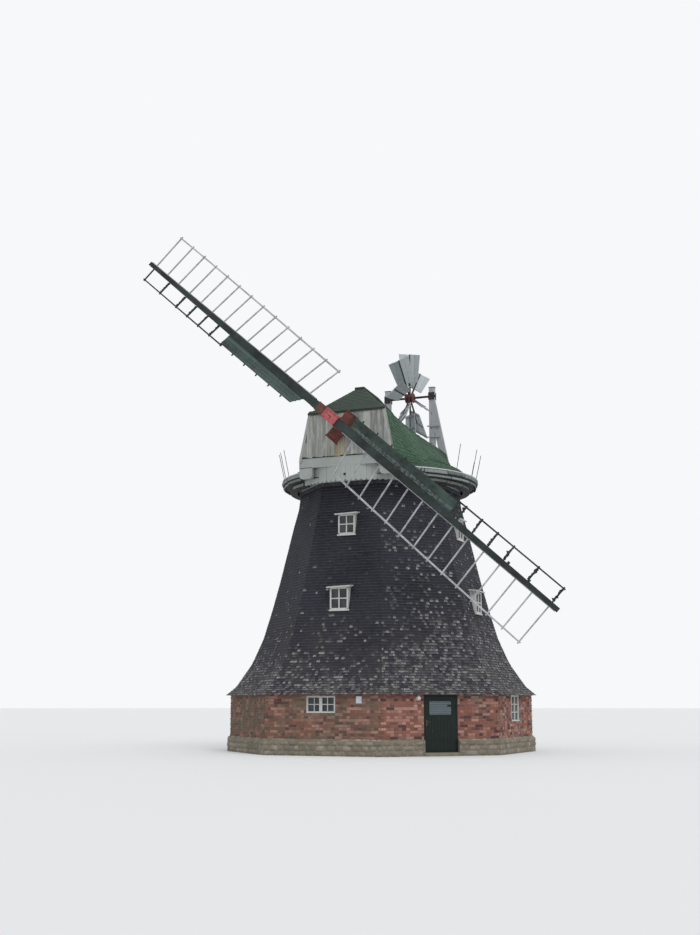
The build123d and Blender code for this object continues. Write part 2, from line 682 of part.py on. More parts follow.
def windshaft():
    """Sixteen-sided shaft with two round journals."""
    c = 1 / math.cos(math.radians(SHAFT_TILT))
    neck, tail = (NECK_Y + HUB_D) * c, (TAIL_Y + HUB_D) * c
    start = POLL_GAP + STOCK_W0 / 2 + BOX_T

    def run(shape, y0):
        return Pos(0, y0, 0) * Rot(-90, 0, 0) * shape

    body = run(prism(16, SHAFT_R, 0, neck - 160 - start), start)
    body += Pos(0, neck, 0) * Rot(90, 0, 0) * Cylinder(NECK_R, 330)
    body += run(prism(16, SHAFT_R, 0, tail - neck - 320), neck + 160)
    body += Pos(0, tail + 20, 0) * Rot(90, 0, 0) * Cylinder(TAIL_R, 370)
    return body


def sails():
    at = CAP * rotor()
    here = at * Rot(0, STOCK_TURN, 0)
    beam = stock()
    save(here * beam, "stock")
    for name, turn in (("upper", 180 + STOCK_TURN), ("lower", STOCK_TURN)):
        side = at * Rot(0, turn, 0)
        save(side * (lattice_side() - beam), "lattice_" + name)
        lead = leading_side(name) - beam
        save(side * max(lead.solids(), key=lambda q: q.volume), "leading_" + name)
    sleeve, empty = poll(beam)
    save(here * sleeve, "canister_front")
    save(Compound([(here * q).solids()[0] for q in empty]), "canister_rear")
    save(at * windshaft(), "windshaft")


tower()
windows(smock())
doorway()
body = roof()
sheers, timbers = cap_frame()
ring = skirt([body, rear_wall(sheers)] + sheers + timbers)
cap_walls(shaft_cyl(SHAFT_R + 50, 0, 2 * HUB_OUT), sheers, ring)
bearings()
fan_frame()
fantail()
sails()
rods(ring)
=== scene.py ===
import math

import bpy
import numpy as np
from bpy.props import FloatProperty, FloatVectorProperty
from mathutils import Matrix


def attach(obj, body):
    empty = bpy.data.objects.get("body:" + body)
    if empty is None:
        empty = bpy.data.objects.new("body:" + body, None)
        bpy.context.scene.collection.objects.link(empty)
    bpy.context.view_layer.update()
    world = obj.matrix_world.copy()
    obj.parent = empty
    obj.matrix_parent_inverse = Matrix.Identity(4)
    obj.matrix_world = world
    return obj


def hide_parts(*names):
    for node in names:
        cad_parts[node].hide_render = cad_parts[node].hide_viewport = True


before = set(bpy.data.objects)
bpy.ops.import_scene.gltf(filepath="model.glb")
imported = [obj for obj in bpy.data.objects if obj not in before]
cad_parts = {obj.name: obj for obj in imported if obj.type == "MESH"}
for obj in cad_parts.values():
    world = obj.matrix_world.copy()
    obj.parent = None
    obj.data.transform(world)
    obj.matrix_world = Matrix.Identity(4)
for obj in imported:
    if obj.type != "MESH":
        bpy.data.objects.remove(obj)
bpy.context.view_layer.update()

bl_info = {
    "name": "Smock Mill Dressing",
    "version": (1, 0, 0),
    "blender": (4, 5, 0),
    "location": "View3D > Sidebar > Mill",
    "description": "Bricks, shingles, boards, irons and finishes for a two-sailed smock mill",
    "category": "Object",
}

RIGHT = 1
LEFT = -1

# Sizes of the frame that the pieces sit on, in metres. Octagon sizes are centre to corner.
C8 = math.cos(math.pi / 8)
T8 = math.tan(math.pi / 8)
WALL_X = 5.5 * C8            # flat of the brick wall from the axis
PLINTH_STEP = 0.11           # how far the plinth's slope runs in, and how high
PLINTH_DROP = 0.06
PLINTH_X = WALL_X + PLINTH_STEP
PLINTH_H = 0.55
WALL_TOP = 2.09
COURSES = 17
EAVE_Z = 2.0
FACETS = range(-1, 7)
SMOCK = np.array([(2.0, 5.69), (2.3, 5.32), (2.57, 5.13), (3.08, 4.78), (3.31, 4.66), (4.06, 4.33),
                  (5.16, 4.0), (6.2, 3.72), (7.15, 3.49), (8.15, 3.25), (8.9, 3.05), (9.41, 2.99)])
SMOCK_WINDOWS = [(k, half, z0, z1) for k in (-1, 1, 3, 5)
                 for half, z0, z1 in ((0.345, 4.89, 5.66), (0.32, 7.59, 8.30))]
# Windows of the brick wall: facet, from and to along the wall, sill and head
BASE_WINDOWS = [(-1, -0.62, 0.43, 1.39, 1.95), (1, -0.47, 0.47, 1.09, 1.99), (3, -0.47, 0.47, 1.09, 1.99),
                (5, -0.47, 0.47, 1.09, 1.99)]
DOOR_FACET = 0
DOOR_HALF = 0.62
DOOR_HEAD = 1.99
CAP_TURN = -21.67
CAP_Z = 9.632
GABLE_Y = -3.29
CAP_R = 3.68
APRON_R = 3.37
HUB_D = 4.737
HUB_H = 1.879
SHAFT_TILT = 8.97
STOCK_TURN = 41.18
STOCK_L = 10.76
BAR_R0 = 1.30
BAR_PITCH = 0.705
BAR_N = 14
TRAIL_W = 1.52
LEAD_W = 0.62
TWIST_ROOT = 20.9            # degrees at the first bar, and how much less at the last
TWIST_LOSS = 19.1
FAN_AT = (0.0, 3.42, 4.328)
FAN_R = 1.85
FAN_TURN = 1.0
FAN_PITCH = 40.0
FAN_ARMS = 8
FAN_ROOT_W = 0.345           # half widths of a blade
FAN_TIP_W = 0.46
AXLE_R = 0.045
AXLE_HALF = 1.10
SHINGLE_W = 0.125            # roof shingles
CAP_SIDES = 36               # sides of the cap's rings
SAIL_TURNS = {"upper": STOCK_TURN + 180, "lower": STOCK_TURN}
# From and to, in pitches past the first bar.
WINDBOARDS = {"upper": (-0.14, 6.03), "lower": (-0.42, 6.53)}
BAR_HALF = 0.02              # half the width of a sail bar
# How green the walls away from the sun are, by facet.
DAMP = {-1: 0.65, 5: 1.0, 6: 1.0}
BEAM_TOP = 0.738             # of the white beam under the front boards
BOARD_TOP = 2.322            # the front boards stop here, under the hip's eave
HIP_HALF = 1.49              # half the length of that eave
TOOTH = 0.045                # how far the end bricks pass the corner
UP = np.array([0.0, 0.0, 1.0])
# Roof ribs from front to rear: distance forward, then (sideways, height) from the ridge to the foot
ROOF = [(3.19, [(1.354, 2.508), (1.4, 2.473), (1.48, 2.398), (1.63, 1.618), (1.8, 0.768), (1.815, 0.31)]),
        (2.85, [(1.0, 2.748), (1.2, 2.608), (1.49, 2.328), (1.72, 1.538), (1.98, 0.728), (2.04, 0.34)]),
        (2.05, [(0.18, 3.448), (0.76, 2.868), (1.45, 2.118), (1.85, 1.368), (2.33, 0.638), (2.42, 0.4)]),
        (0.6, [(0.15, 3.348), (0.8, 2.698), (1.45, 2.048), (2.0, 1.268), (2.48, 0.668), (2.6, 0.45)]),
        (-0.9, [(0.15, 3.088), (0.8, 2.518), (1.45, 1.958), (2.0, 1.318), (2.54, 0.768), (2.72, 0.47)]),
        (-2.0, [(0.15, 2.698), (0.76, 2.368), (1.56, 1.928), (1.9, 1.448), (2.35, 0.898), (2.6, 0.38)]),
        (-2.6, [(0.9, 1.768), (1.5, 1.758), (1.78, 1.738), (1.87, 1.418), (2.15, 0.868), (2.32, 0.32)])]
SKIRT = [(CAP_R - inward, z) for inward, z in ((0, 0.268), (0.35, 0.398), (0.61, 0.618), (0.98, 0.788),
                                               (1.43, 0.998))]


# Settings that the panel shows

def length(name, text, default):
    return FloatProperty(name=name, description=text, default=default, min=0.001, max=2.0, subtype="DISTANCE",
                         unit="LENGTH")


def tint(name, text, default):
    return FloatVectorProperty(name=name, description=text, default=default, size=3, min=0.0, max=1.0,
                               subtype="COLOR")


def strength(name, text, default):
    return FloatProperty(name=name, description=text, default=default, min=0.0, max=10.0)


def share(name, text, default):
    return FloatProperty(name=name, description=text, default=default, min=0.0, max=1.0, subtype="FACTOR")


class MillBaseSettings(bpy.types.PropertyGroup):
    course: length("Brick course", "Height from one brick course to the next", 0.094)
    stretcher: length("Stretcher pitch", "Length from one long brick to the next", 0.282)
    joint: length("Joint", "Width of the mortar joints", 0.012)
    brick: tint("Brick", "Colour of the bricks", (0.262, 0.098, 0.070))
    mortar: tint("Mortar", "Colour of the joints", (0.225, 0.20, 0.17))
    stone: tint("Field stone", "Colour of the plinth's stones", (0.235, 0.205, 0.15))
    door: tint("Door paint", "Colour of the door and its frame", (0.0062, 0.0122, 0.0100))
    white: tint("White paint", "Colour of the windows and white boards", (0.56, 0.565, 0.545))


class MillTowerSettings(bpy.types.PropertyGroup):
    exposure: length("Shingle exposure", "Height of each shingle course along the slope", 0.106)
    width: length("Shingle width", "Mean width of a shingle", 0.112)
    thickness: length("Shingle butt", "Thickness of a shingle at its lower edge", 0.015)
    tar: tint("Tarred shingle", "Colour of the tower's shingles", (0.0190, 0.0195, 0.0290))
    lichen: share("Lichen", "How many shingles near the eave carry pale lichen", 1.0)


class MillCapSettings(bpy.types.PropertyGroup):
    exposure: length("Roof exposure", "Height of each roof shingle course along the slope", 0.125)
    board: length("Board width", "Mean width of the front boards", 0.125)
    green: tint("Roof paint", "Colour of the roof shingles", (0.034, 0.088, 0.050))
    grey: tint("Weathered boards", "Colour of the bare front boards", (0.34, 0.35, 0.32))
    beam: tint("Beam paint", "Colour of the beam, its brackets and the scalloped boards", (0.37, 0.40, 0.38))
    post: tint("Fan posts", "Colour of the fantail's posts", (0.44, 0.45, 0.47))
    eave: tint("Eave boards", "Colour of the tiers round the eave", (0.170, 0.195, 0.190))
    red: tint("Hub paint", "Colour of the iron hub", (0.46, 0.085, 0.085))


class MillSailSettings(bpy.types.PropertyGroup):
    stub: length("Bar ends", "How far the lattice bars pass the outer rail", 0.055)
    plank: length("Windboard plank", "Width of one windboard plank", 0.131)
    stock: tint("Stock paint", "Colour of the stock and leading bars", (0.017, 0.022, 0.021))
    lattice: tint("Lattice paint", "Colour of the lattice", (0.42, 0.43, 0.44))
    board: tint("Windboard paint", "Colour of the windboards", (0.027, 0.040, 0.035))


class MillStageSettings(bpy.types.PropertyGroup):
    floor: tint("Floor", "Colour of the studio floor", (0.80, 0.80, 0.79))
    backdrop: tint("Backdrop", "Colour seen behind the mill", (0.93, 0.94, 0.95))
    sky: strength("Sky light", "Strength of the even light", 0.72)
    sun: strength("Soft sun", "Strength of the soft lamp", 1.25)


# Places: on_cap and on_fan take points to the mill's frame; the others named on_ give such a function.

def turn(axis, degrees):
    a = math.radians(degrees)
    c, s = math.cos(a), math.sin(a)
    rows = {"x": [[1, 0, 0], [0, c, -s], [0, s, c]], "y": [[c, 0, s], [0, 1, 0], [-s, 0, c]],
            "z": [[c, -s, 0], [s, c, 0], [0, 0, 1]]}
    return np.array(rows[axis], float)


def on_facet(k):
    """Facet k's (outwards, along, height) turned about the mill's axis by 45 degrees a facet."""
    spin = turn("z", -90 + 45 * (k + 0.5)).T
    return lambda p: p @ spin


def on_cap(p):
    """The cap's (sideways, back, height) turned to its heading and lifted onto the curb."""
    return p @ turn("z", CAP_TURN).T + CAP_Z * UP


def on_rotor(degrees):
    """(along the stock, front to back, outwards) turned about the windshaft, tilted and set at the hub."""
    spin, tilt = turn("y", degrees).T, turn("x", -SHAFT_TILT).T
    return lambda p: on_cap(p @ spin @ tilt + np.array([0.0, -HUB_D, HUB_H]))


def on_sail(name, lead):
    """(along the stock, front to back, outwards) turned about the stock by the sail's twist at that place."""
    place = on_rotor(SAIL_TURNS[name])

    def twisted(p):
        t = np.clip((p[..., 0] - BAR_R0) / (BAR_PITCH * (BAR_N - 1)), 0, 1)
        a = np.radians(TWIST_ROOT - TWIST_LOSS * t) + (0.0 if lead > 0 else math.pi)
        y = p[..., 1] * np.cos(a) - p[..., 2] * np.sin(a)
        z = p[..., 1] * np.sin(a) + p[..., 2] * np.cos(a)
        return place(np.stack([p[..., 0], y, z], -1))

    return twisted


def on_fan(p):
    return on_cap(p + np.array(FAN_AT))


def smock_x(z):
    return np.interp(z, SMOCK[:, 0], SMOCK[:, 1]) * C8


def ring_points(angles, radii, heights):
    """Points round the cap's many-sided rings: the radius is cut by cos(half a side) over cos(angle from the
    middle of the side), so it is whole at the corners."""
    half = math.pi / CAP_SIDES
    k = math.cos(half) / np.cos(np.mod(angles + half, 2 * half) - half)
    r = np.asarray(radii, float)[None, :]
    return np.stack(np.broadcast_arrays(r * (k * np.sin(angles))[:, None], -r * (k * np.cos(angles))[:, None],
                                        np.asarray(heights, float)[None, :]), -1)


# Mesh makers: each gives a batch of like units: their points, the faces of one unit and the points' marks.

SLAB = [(0, 1, 2, 3), (4, 5, 1, 0), (5, 6, 2, 1), (6, 7, 3, 2), (7, 4, 0, 3),
        (8, 9, 5, 4), (9, 10, 6, 5), (10, 11, 7, 6), (11, 8, 4, 7)]
SHINGLE = [(0, 1, 2, 3), (4, 5, 1, 0), (5, 2, 1), (4, 0, 3)]


def unit(v):
    return v / np.maximum(np.linalg.norm(v, axis=-1, keepdims=True), 1e-9)


def quads(*points):
    """Rows of points from (x, y, z) that are numbers or arrays: one row for each place in the arrays."""
    flat = np.broadcast_arrays(*[np.atleast_1d(np.asarray(v, float)) for p in points for v in p])
    return np.stack([np.stack(flat[i:i + 3], -1) for i in range(0, len(flat), 3)], 1)


def marks_for(verts, low, tone, spot):
    """Marks of each point: a shade for the whole unit, a spot strength and 0 low to 1 high on the unit."""
    out = np.ones((*verts.shape[:2], 4))
    out[..., 0] = np.broadcast_to(np.asarray(tone, float), len(verts))[:, None]
    out[..., 1] = np.broadcast_to(np.asarray(spot, float), len(verts))[:, None]
    out[:, low, 2] = 0.0
    return out


def slabs(corners, normal, thick, bevel=0.004, back=False, tone=0.5, spot=0.0):
    """Boards: four corners on a surface, raised along the normal, the front drawn in by the bevel."""
    n = np.broadcast_to(np.asarray(normal, float), (len(corners), 3))[:, None, :]
    t = np.broadcast_to(np.asarray(thick, float), len(corners))[:, None, None]
    across = unit(corners[:, 1] - corners[:, 0])[:, None, :]
    up = unit(corners[:, 3] - corners[:, 0])[:, None, :]
    side_across = np.array([1, -1, -1, 1.0])[None, :, None]
    side_up = np.array([1, 1, -1, -1.0])[None, :, None]
    front = corners + n * t + bevel * (side_across * across + side_up * up)
    verts = np.concatenate([front, corners + n * (t - bevel), corners], 1)
    return verts, SLAB + ([(11, 10, 9, 8)] if back else []), marks_for(verts, [0, 1, 4, 5, 8, 9], tone, spot)


def shingles(corners, normal, butt, top=0.002, tone=0.5, spot=0.0):
    """Wedges: four corners on a slope, thick at the lower edge and thin at the upper one."""
    n = np.broadcast_to(np.asarray(normal, float), (len(corners), 3))
    lift = n * np.broadcast_to(np.asarray(butt, float), len(corners))[:, None]
    low, high = corners[:, :2], corners[:, 2:] + n[:, None] * top
    verts = np.concatenate([low + lift[:, None], high, low], 1)
    return verts, SHINGLE, marks_for(verts, [0, 1, 4, 5], tone, spot)


def boxes(x0, x1, y0, y1, z0, z1, bevel=0.004, tone=0.5, spot=0.0):
    """Closed boxes from their limits, facing +x, with a bevel round that face."""
    corners = quads((x0, y0, z0), (x0, y1, z0), (x0, y1, z1), (x0, y0, z1))
    return slabs(corners, (1, 0, 0), np.subtract(x1, x0), bevel, True, tone, spot)


def front_boxes(x0, x1, y0, y1, z0, z1, bevel=0.004, tone=0.5, spot=0.0):
    """Closed boxes from their limits, facing -y, with a bevel round that face."""
    corners = quads((x0, y1, z0), (x1, y1, z0), (x1, y1, z1), (x0, y1, z1))
    return slabs(corners, (0, -1, 0), np.subtract(y1, y0), bevel, True, tone, spot)


def studs(x, y0, y1, z, wide, high, bevel=0.004, tone=0.5, spot=0.0):
    """Front boxes from the middle of each, (x, z), and its half width and half height."""
    x, z = np.asarray(x, float), np.asarray(z, float)
    return front_boxes(x - wide, x + wide, y0, y1, z - high, z + high, bevel, tone, spot)


def grid(points, wrap_u=False, wrap_v=False, ends=False, flip=False, tone=0.5, spot=0.0):
    """One surface from a grid of points; ends closes the first and last row of a tube."""
    nu, nv = points.shape[:2]
    faces = []
    for i in range(nu if wrap_u else nu - 1):
        for j in range(nv if wrap_v else nv - 1):
            a, b = (i + 1) % nu, (j + 1) % nv
            faces.append((i * nv + j, i * nv + b, a * nv + b, a * nv + j))
    if ends:
        faces += [tuple(range(nv))[::-1], tuple((nu - 1) * nv + j for j in range(nv))]
    if flip:
        faces = [face[::-1] for face in faces]
    verts = points.reshape(1, -1, 3)
    return verts, faces, marks_for(verts, [], tone, spot)


def tube(section, flip=False, tone=0.5, spot=0.0):
    """A closed run along x through the (x, y, z) of a section, taken round from -y by -z to +y."""
    return grid(quads(*section), wrap_v=True, ends=True, flip=flip, tone=tone, spot=spot)


def lathe(profile, n):
    """A profile of (radius, height) turned about z; a radius near nought closes it."""
    profile = np.asarray(profile, float)
    a = np.linspace(0, 2 * math.pi, n, endpoint=False)
    r = np.maximum(profile[:, 0], 1e-4)
    p = np.stack([r[:, None] * np.cos(a), r[:, None] * np.sin(a), np.repeat(profile[:, 1:2], n, 1)], -1)
    return grid(p, wrap_v=True, ends=True, flip=True)


def moved(batch, place):
    return place(batch[0]), batch[1], batch[2]


def put(name, batches, body, finish, place=None, smooth=False):
    """Joins batches of like units into one mesh, with their marks as a point attribute."""
    verts, faces, marks, start = [], [], [], 0
    for v, template, mark in batches:
        m, k = v.shape[:2]
        for face in template:
            faces += (np.array(face)[None, :] + k * np.arange(m)[:, None] + start).tolist()
        verts.append((place(v) if place else v).reshape(-1, 3))
        marks.append(mark.reshape(-1, 4))
        start += m * k
    mesh = bpy.data.meshes.new(name)
    mesh.from_pydata(np.concatenate(verts).tolist(), [], faces)
    layer = mesh.attributes.new("marks", "FLOAT_COLOR", "POINT")
    layer.data.foreach_set("color", np.concatenate(marks).reshape(-1).astype(np.float32))
    mesh.materials.append(FINISH[finish])
    if smooth:
        mesh.shade_smooth()
    mesh.update()
    piece = bpy.data.objects.new(name, mesh)
    bpy.context.scene.collection.objects.link(piece)
    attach(piece, body)
    return piece


def patchy(p, seed, size):
    """A smooth made-up field from 0 to 1: a sum of sine waves with seeded directions."""
    rng = np.random.default_rng(seed)
    total = np.zeros(p.shape[:-1])
    for _ in range(7):
        d = rng.normal(size=3)
        total += np.sin(p @ d * (2.2 / size) + rng.uniform(0, 6.28))
    return 1 / (1 + np.exp(-1.1 * total))


def cells(lo, hi, pitch, rng, shift=0.0, jitter=0.18):
    """Edges between lo and hi at about one pitch, moved a little at random."""
    n = max(int(round((hi - lo) / pitch)), 1)
    e = lo + (hi - lo) * (np.arange(-1, n + 2) + shift) / n
    e += rng.uniform(-jitter, jitter, len(e)) * pitch
    e = e[(e > lo + 0.25 * pitch) & (e < hi - 0.25 * pitch)]
    return np.concatenate([[lo], e, [hi]])


def minus(y0, y1, cuts):
    """The runs y0..y1 with the cuts taken out of them."""
    for c0, c1 in cuts:
        keep = (y1 <= c0) | (y0 >= c1)
        left = (~keep) & (y0 < c0)
        right = (~keep) & (y1 > c1)
        y0, y1 = (np.concatenate([y0[keep], y0[left], np.full(right.sum(), c1)]),
                  np.concatenate([y1[keep], np.full(left.sum(), c0), y1[right]]))
    return y0, y1


# Finishes

def add_node(tree, kind, inputs=(), **settings):
    """A node with its settings; an input is linked where it is a socket and set where it is a value."""
    node = tree.nodes.new(kind)
    for key, value in settings.items():
        setattr(node, key, value)
    for key, value in dict(inputs).items():
        feed(tree, node.inputs[key], value)
    return node


def feed(tree, socket, value):
    if hasattr(value, "is_linked"):
        tree.links.new(value, socket)
    elif socket.type == "RGBA" and len(value) == 3:
        socket.default_value = (*value, 1.0)
    else:
        socket.default_value = value


def shade(color, k):
    """The colour times one factor, or three, and no channel over 1."""
    return tuple(np.minimum(1.0, np.multiply(tuple(color), k)).tolist())


class Finish:
    """A material with its nodes. Patterns read Object coordinates and the pieces' marks."""

    def __init__(self, name):
        self.material = bpy.data.materials.new(name)
        self.material.use_nodes = True
        self.tree = self.material.node_tree
        self.shader = self.tree.nodes["Principled BSDF"]
        self.coords = self.node("ShaderNodeTexCoord").outputs["Object"]
        self.base = None

    def node(self, kind, inputs=(), **settings):
        return add_node(self.tree, kind, inputs, **settings)

    def stretched(self, x, y, z):
        """The coordinates scaled by x, y and z."""
        return self.node("ShaderNodeMapping", {"Vector": self.coords, "Scale": (x, y, z)}).outputs[0]

    def noise(self, scale, detail=4.0, rough=0.55, vector=None):
        return self.node("ShaderNodeTexNoise", {"Vector": vector or self.coords, "Scale": scale,
                                                "Detail": detail, "Roughness": rough}).outputs["Fac"]

    def range(self, value, low, high, to_low=0.0, to_high=1.0):
        return self.node("ShaderNodeMapRange", {"Value": value, "From Min": low, "From Max": high,
                                                "To Min": to_low, "To Max": to_high}).outputs["Result"]

    def spots(self, scale, detail, low, high, most=1.0, rough=0.55, vector=None):
        """Patches of noise: nought below low, rising to the most at high."""
        return self.range(self.noise(scale, detail, rough, vector), low, high, 0.0, most)

    def calc(self, kind, a, b):
        return self.node("ShaderNodeMath", {0: a, 1: b}, operation=kind).outputs[0]

    def times(self, a, b):
        return self.calc("MULTIPLY", a, b)

    def marks(self):
        """The shade, spot and edge marks of the piece."""
        node = self.node("ShaderNodeAttribute", attribute_name="marks")
        return self.node("ShaderNodeSeparateColor", {"Color": node.outputs["Color"]}).outputs

    def start(self, fac, a, b):
        """The first coat: colour a where the factor is 0 and b where it is 1."""
        self.base = self.node("ShaderNodeMix", {0: fac, 6: a, 7: b}, data_type="RGBA").outputs[2]

    def over(self, fac, color):
        """The next coat, as strong as the factor."""
        self.start(fac, self.base, color)

    def done(self, rough, bump, depth, strength, metal=0.0, specular=0.35):
        node = self.node("ShaderNodeBump", {"Height": bump, "Distance": depth, "Strength": strength})
        for key, value in (("Base Color", self.base), ("Roughness", rough), ("Metallic", metal),
                           ("Specular IOR Level", specular), ("Normal", node.outputs["Normal"])):
            feed(self.tree, self.shader.inputs[key], value)
        return self.material


def stone_finish(color):
    """Pale field stone: a shade for each stone, coarse blotches and fine grain."""
    f = Finish("field_stone")
    f.start(f.marks()[0], shade(color, 0.72), shade(color, (1.377, 1.377, 1.512)))
    f.over(f.spots(3.2, 5, 0.42, 0.7), shade(color, (0.62, 0.6324, 0.558)))
    f.over(f.spots(46, 3, 0.55, 0.75, 0.5), shade(color, 1.7))
    return f.done(0.86, f.noise(34, 8, 0.65), 0.012, 0.6)


def mortar_finish(color):
    f = Finish("lime_mortar")
    f.start(f.spots(2.1, 5, 0.35, 0.7), shade(color, 0.72), shade(color, 1.15))
    return f.done(0.92, f.noise(70, 5, 0.7), 0.006, 0.6)


def brick_finish(color):
    """Soft red brick: burnt, plain and pale bricks by shade, damp green on the sides away from the sun."""
    f = Finish("soft_brick")
    tone, spot, _ = f.marks()
    burnt = shade(color, (0.336, 0.416, 0.6))
    f.start(f.range(tone, 0.10, 0.34), burnt, color)
    f.over(f.range(tone, 0.60, 1.0), shade(color, (1.75, 2.6, 2.9)))
    f.over(f.spots(38, 5, 0.48, 0.76, 0.42, 0.65), shade(burnt, 0.8))
    f.over(f.spots(1.3, 4, 0.52, 0.72, 0.45), (0.24, 0.192, 0.152))
    f.over(f.times(spot, f.spots(2.6, 5, 0.32, 0.62)), (0.115, 0.098, 0.062))
    return f.done(0.88, f.noise(85, 6, 0.7), 0.004, 0.55)


def tar_finish(color):
    """Tarred shingles, worn grey in patches, mossy near the eave, with pale lichen on the marked ones."""
    f = Finish("tarred_shingle")
    tone, spot, edge = f.marks()
    grain = f.noise(26, 4, 0.6, f.stretched(3.0, 3.0, 0.35))
    f.start(tone, shade(color, 0.55), shade(color, (1.705, 1.6275, 1.55)))
    f.over(f.spots(0.55, 3, 0.40, 0.68), shade(color, (1.45, 1.42, 1.30)))
    f.over(f.range(grain, 0.5, 0.78, 0, 0.5), (0.075, 0.072, 0.074))
    height = f.node("ShaderNodeSeparateXYZ", {"Vector": f.coords}).outputs["Z"]
    moss = f.times(f.range(height, 5.2, 2.0), f.spots(1.7, 5, 0.38, 0.62, 1.0, 0.62))
    f.over(f.times(moss, 0.6), (0.070, 0.064, 0.052))
    worn = f.times(f.range(edge, 0.30, 0.0), f.range(f.noise(9, 3), 0.35, 0.7, 0.2, 0.75))
    f.over(worn, (0.115, 0.115, 0.130))
    flecks = f.times(spot, f.spots(135, 3, 0.49, 0.56, 1.0, 0.72, f.stretched(1.0, 1.0, 0.6)))
    f.over(f.times(flecks, f.range(edge, 0.95, 0.35)), (0.80, 0.78, 0.74))
    return f.done(f.range(grain, 0.3, 0.7, 0.62, 0.82), f.calc("ADD", grain, flecks), 0.006, 0.5,
                  specular=0.14)


def timber_finish():
    """Bare old timber with grain along its length."""
    f = Finish("bare_timber")
    grain = f.noise(7, 7, 0.6, f.stretched(6, 1.1, 6))
    f.start(f.range(grain, 0.3, 0.7), (0.12, 0.085, 0.055), (0.30, 0.235, 0.165))
    return f.done(0.8, grain, 0.01, 0.5)


def white_finish(name, color, worn):
    """Old pale paint: dirt, runs, and grey wood where it has flaked, more of it with more wear."""
    f = Finish(name)
    runs = f.noise(5, 6, 0.62, f.stretched(5, 5, 0.6))
    f.start(f.range(runs, 0.42, 0.74, 0, 0.8 * worn), color, (0.33, 0.335, 0.30))
    flaked = f.spots(17, 7, 0.66 - 0.06 * worn, 0.71 - 0.06 * worn, 1.0, 0.66)
    f.over(flaked, (0.145, 0.142, 0.125))
    f.over(f.spots(1.2, 4, 0.5, 0.74, 0.5), shade(color, 0.66))
    bump = f.calc("SUBTRACT", runs, f.times(flaked, 0.6))
    return f.done(f.range(runs, 0.3, 0.7, 0.5, 0.72), bump, 0.004, 0.45)


def glass_finish():
    # Dark glass for the window panes; the same finish makes the painted shadow in the hub's key slot and the
    # petticoat's hole.
    f = Finish("window_glass")
    ripple = f.noise(2.5, 2, 0.4)
    f.start(f.range(ripple, 0.35, 0.65), (0.012, 0.013, 0.015), (0.05, 0.054, 0.058))
    return f.done(0.06, ripple, 0.004, 0.12, specular=0.5)


def door_glass_finish():
    """Glass with pale slats of a blind behind it, one every 38 mm."""
    f = Finish("door_glass")
    slats = f.node("ShaderNodeTexWave", {"Vector": f.coords, "Scale": 4.15, "Distortion": 0.15},
                   bands_direction="Z").outputs["Fac"]
    f.start(f.range(slats, 0.2, 0.8), (0.062, 0.088, 0.098), (0.125, 0.160, 0.175))
    f.over(f.spots(1.6, 3, 0.4, 0.7), (0.075, 0.10, 0.112))
    return f.done(0.16, f.noise(2, 2), 0.003, 0.1, specular=0.5)


def door_finish(color):
    f = Finish("door_paint")
    streak = f.noise(9, 6, 0.6, f.stretched(6, 6, 0.5))
    f.start(f.range(streak, 0.4, 0.75), color, shade(color, 1.7))
    f.over(f.spots(24, 6, 0.66, 0.70), (0.07, 0.07, 0.06))
    return f.done(f.range(streak, 0.3, 0.7, 0.38, 0.62), streak, 0.003, 0.4, specular=0.24)


def board_finish(name, color, contrast):
    """Weathered boards: a shade for each board, long grain, old paint and a stain on the marked ones."""
    f = Finish(name)
    tone, spot, _ = f.marks()
    grain = f.noise(11, 8, 0.62, f.stretched(5.5, 5.5, 0.32))
    f.start(tone, shade(color, 1 - 0.5 * contrast), shade(color, 1 + 0.4 * contrast))
    f.over(f.range(grain, 0.5, 0.74, 0, 0.8 * contrast), shade(color, 0.36))
    paint = f.spots(4.2, 6, 0.5, 0.6, 1.0, 0.6, f.stretched(2.6, 2.6, 0.45))
    f.over(f.times(paint, 0.5 * contrast), shade(color, 1.6))
    f.over(f.times(spot, f.spots(6, 4, 0.25, 0.55, 1.0, 0.5, f.stretched(3, 3, 0.4))), (0.36, 0.30, 0.145))
    return f.done(0.84, grain, 0.008, 0.6)


def roof_finish(color):
    """Green shingles, brighter at their lower edges, with pale spots, and darker where they are marked:
    painted shade on the cap's left side and rear, and darker hips.
    """
    f = Finish("green_shingle")
    tone, spot, edge = f.marks()
    f.start(tone, shade(color, 0.62), shade(color, (1.575, 1.5, 1.425)))
    f.over(f.spots(0.9, 4, 0.42, 0.7, 0.5), shade(color, (0.91, 0.595, 0.7)))
    worn = f.times(f.range(edge, 0.35, 0.0), f.range(f.noise(12, 3), 0.3, 0.65, 0.1, 0.75))
    f.over(worn, (0.125, 0.205, 0.140))
    # Painted shade: the marked shingles are darkened.
    f.over(spot, (0.04675, 0.06375, 0.0493))
    f.over(f.spots(20, 6, 0.60, 0.68, 0.7, 0.66), (0.20, 0.24, 0.19))
    return f.done(0.74, f.noise(40, 5, 0.6), 0.005, 0.5, specular=0.3)


def red_finish(color):
    """Red iron paint gone pinkish and matt, with rust in patches."""
    f = Finish("hub_paint")
    blotch = f.noise(5.5, 6, 0.6)
    f.start(f.range(blotch, 0.35, 0.7), color, shade(color, (0.92, 1.55, 1.6)))
    rust = f.spots(9, 7, 0.52, 0.62, 1.0, 0.66)
    f.over(f.times(rust, 0.75), (0.105, 0.042, 0.030))
    return f.done(f.range(rust, 0, 1, 0.5, 0.85), f.calc("ADD", blotch, f.times(rust, 0.5)), 0.006, 0.5)


def rust_finish(color):
    """The older, browner paint of the rear box and clamp."""
    f = Finish("rusted_maroon")
    blotch = f.noise(4.5, 6, 0.62)
    f.start(f.range(blotch, 0.34, 0.54), shade(color, 0.48), (0.105, 0.056, 0.042))
    f.over(f.spots(16, 6, 0.56, 0.62, 1.0, 0.66), (0.045, 0.026, 0.022))
    return f.done(0.78, blotch, 0.008, 0.6)


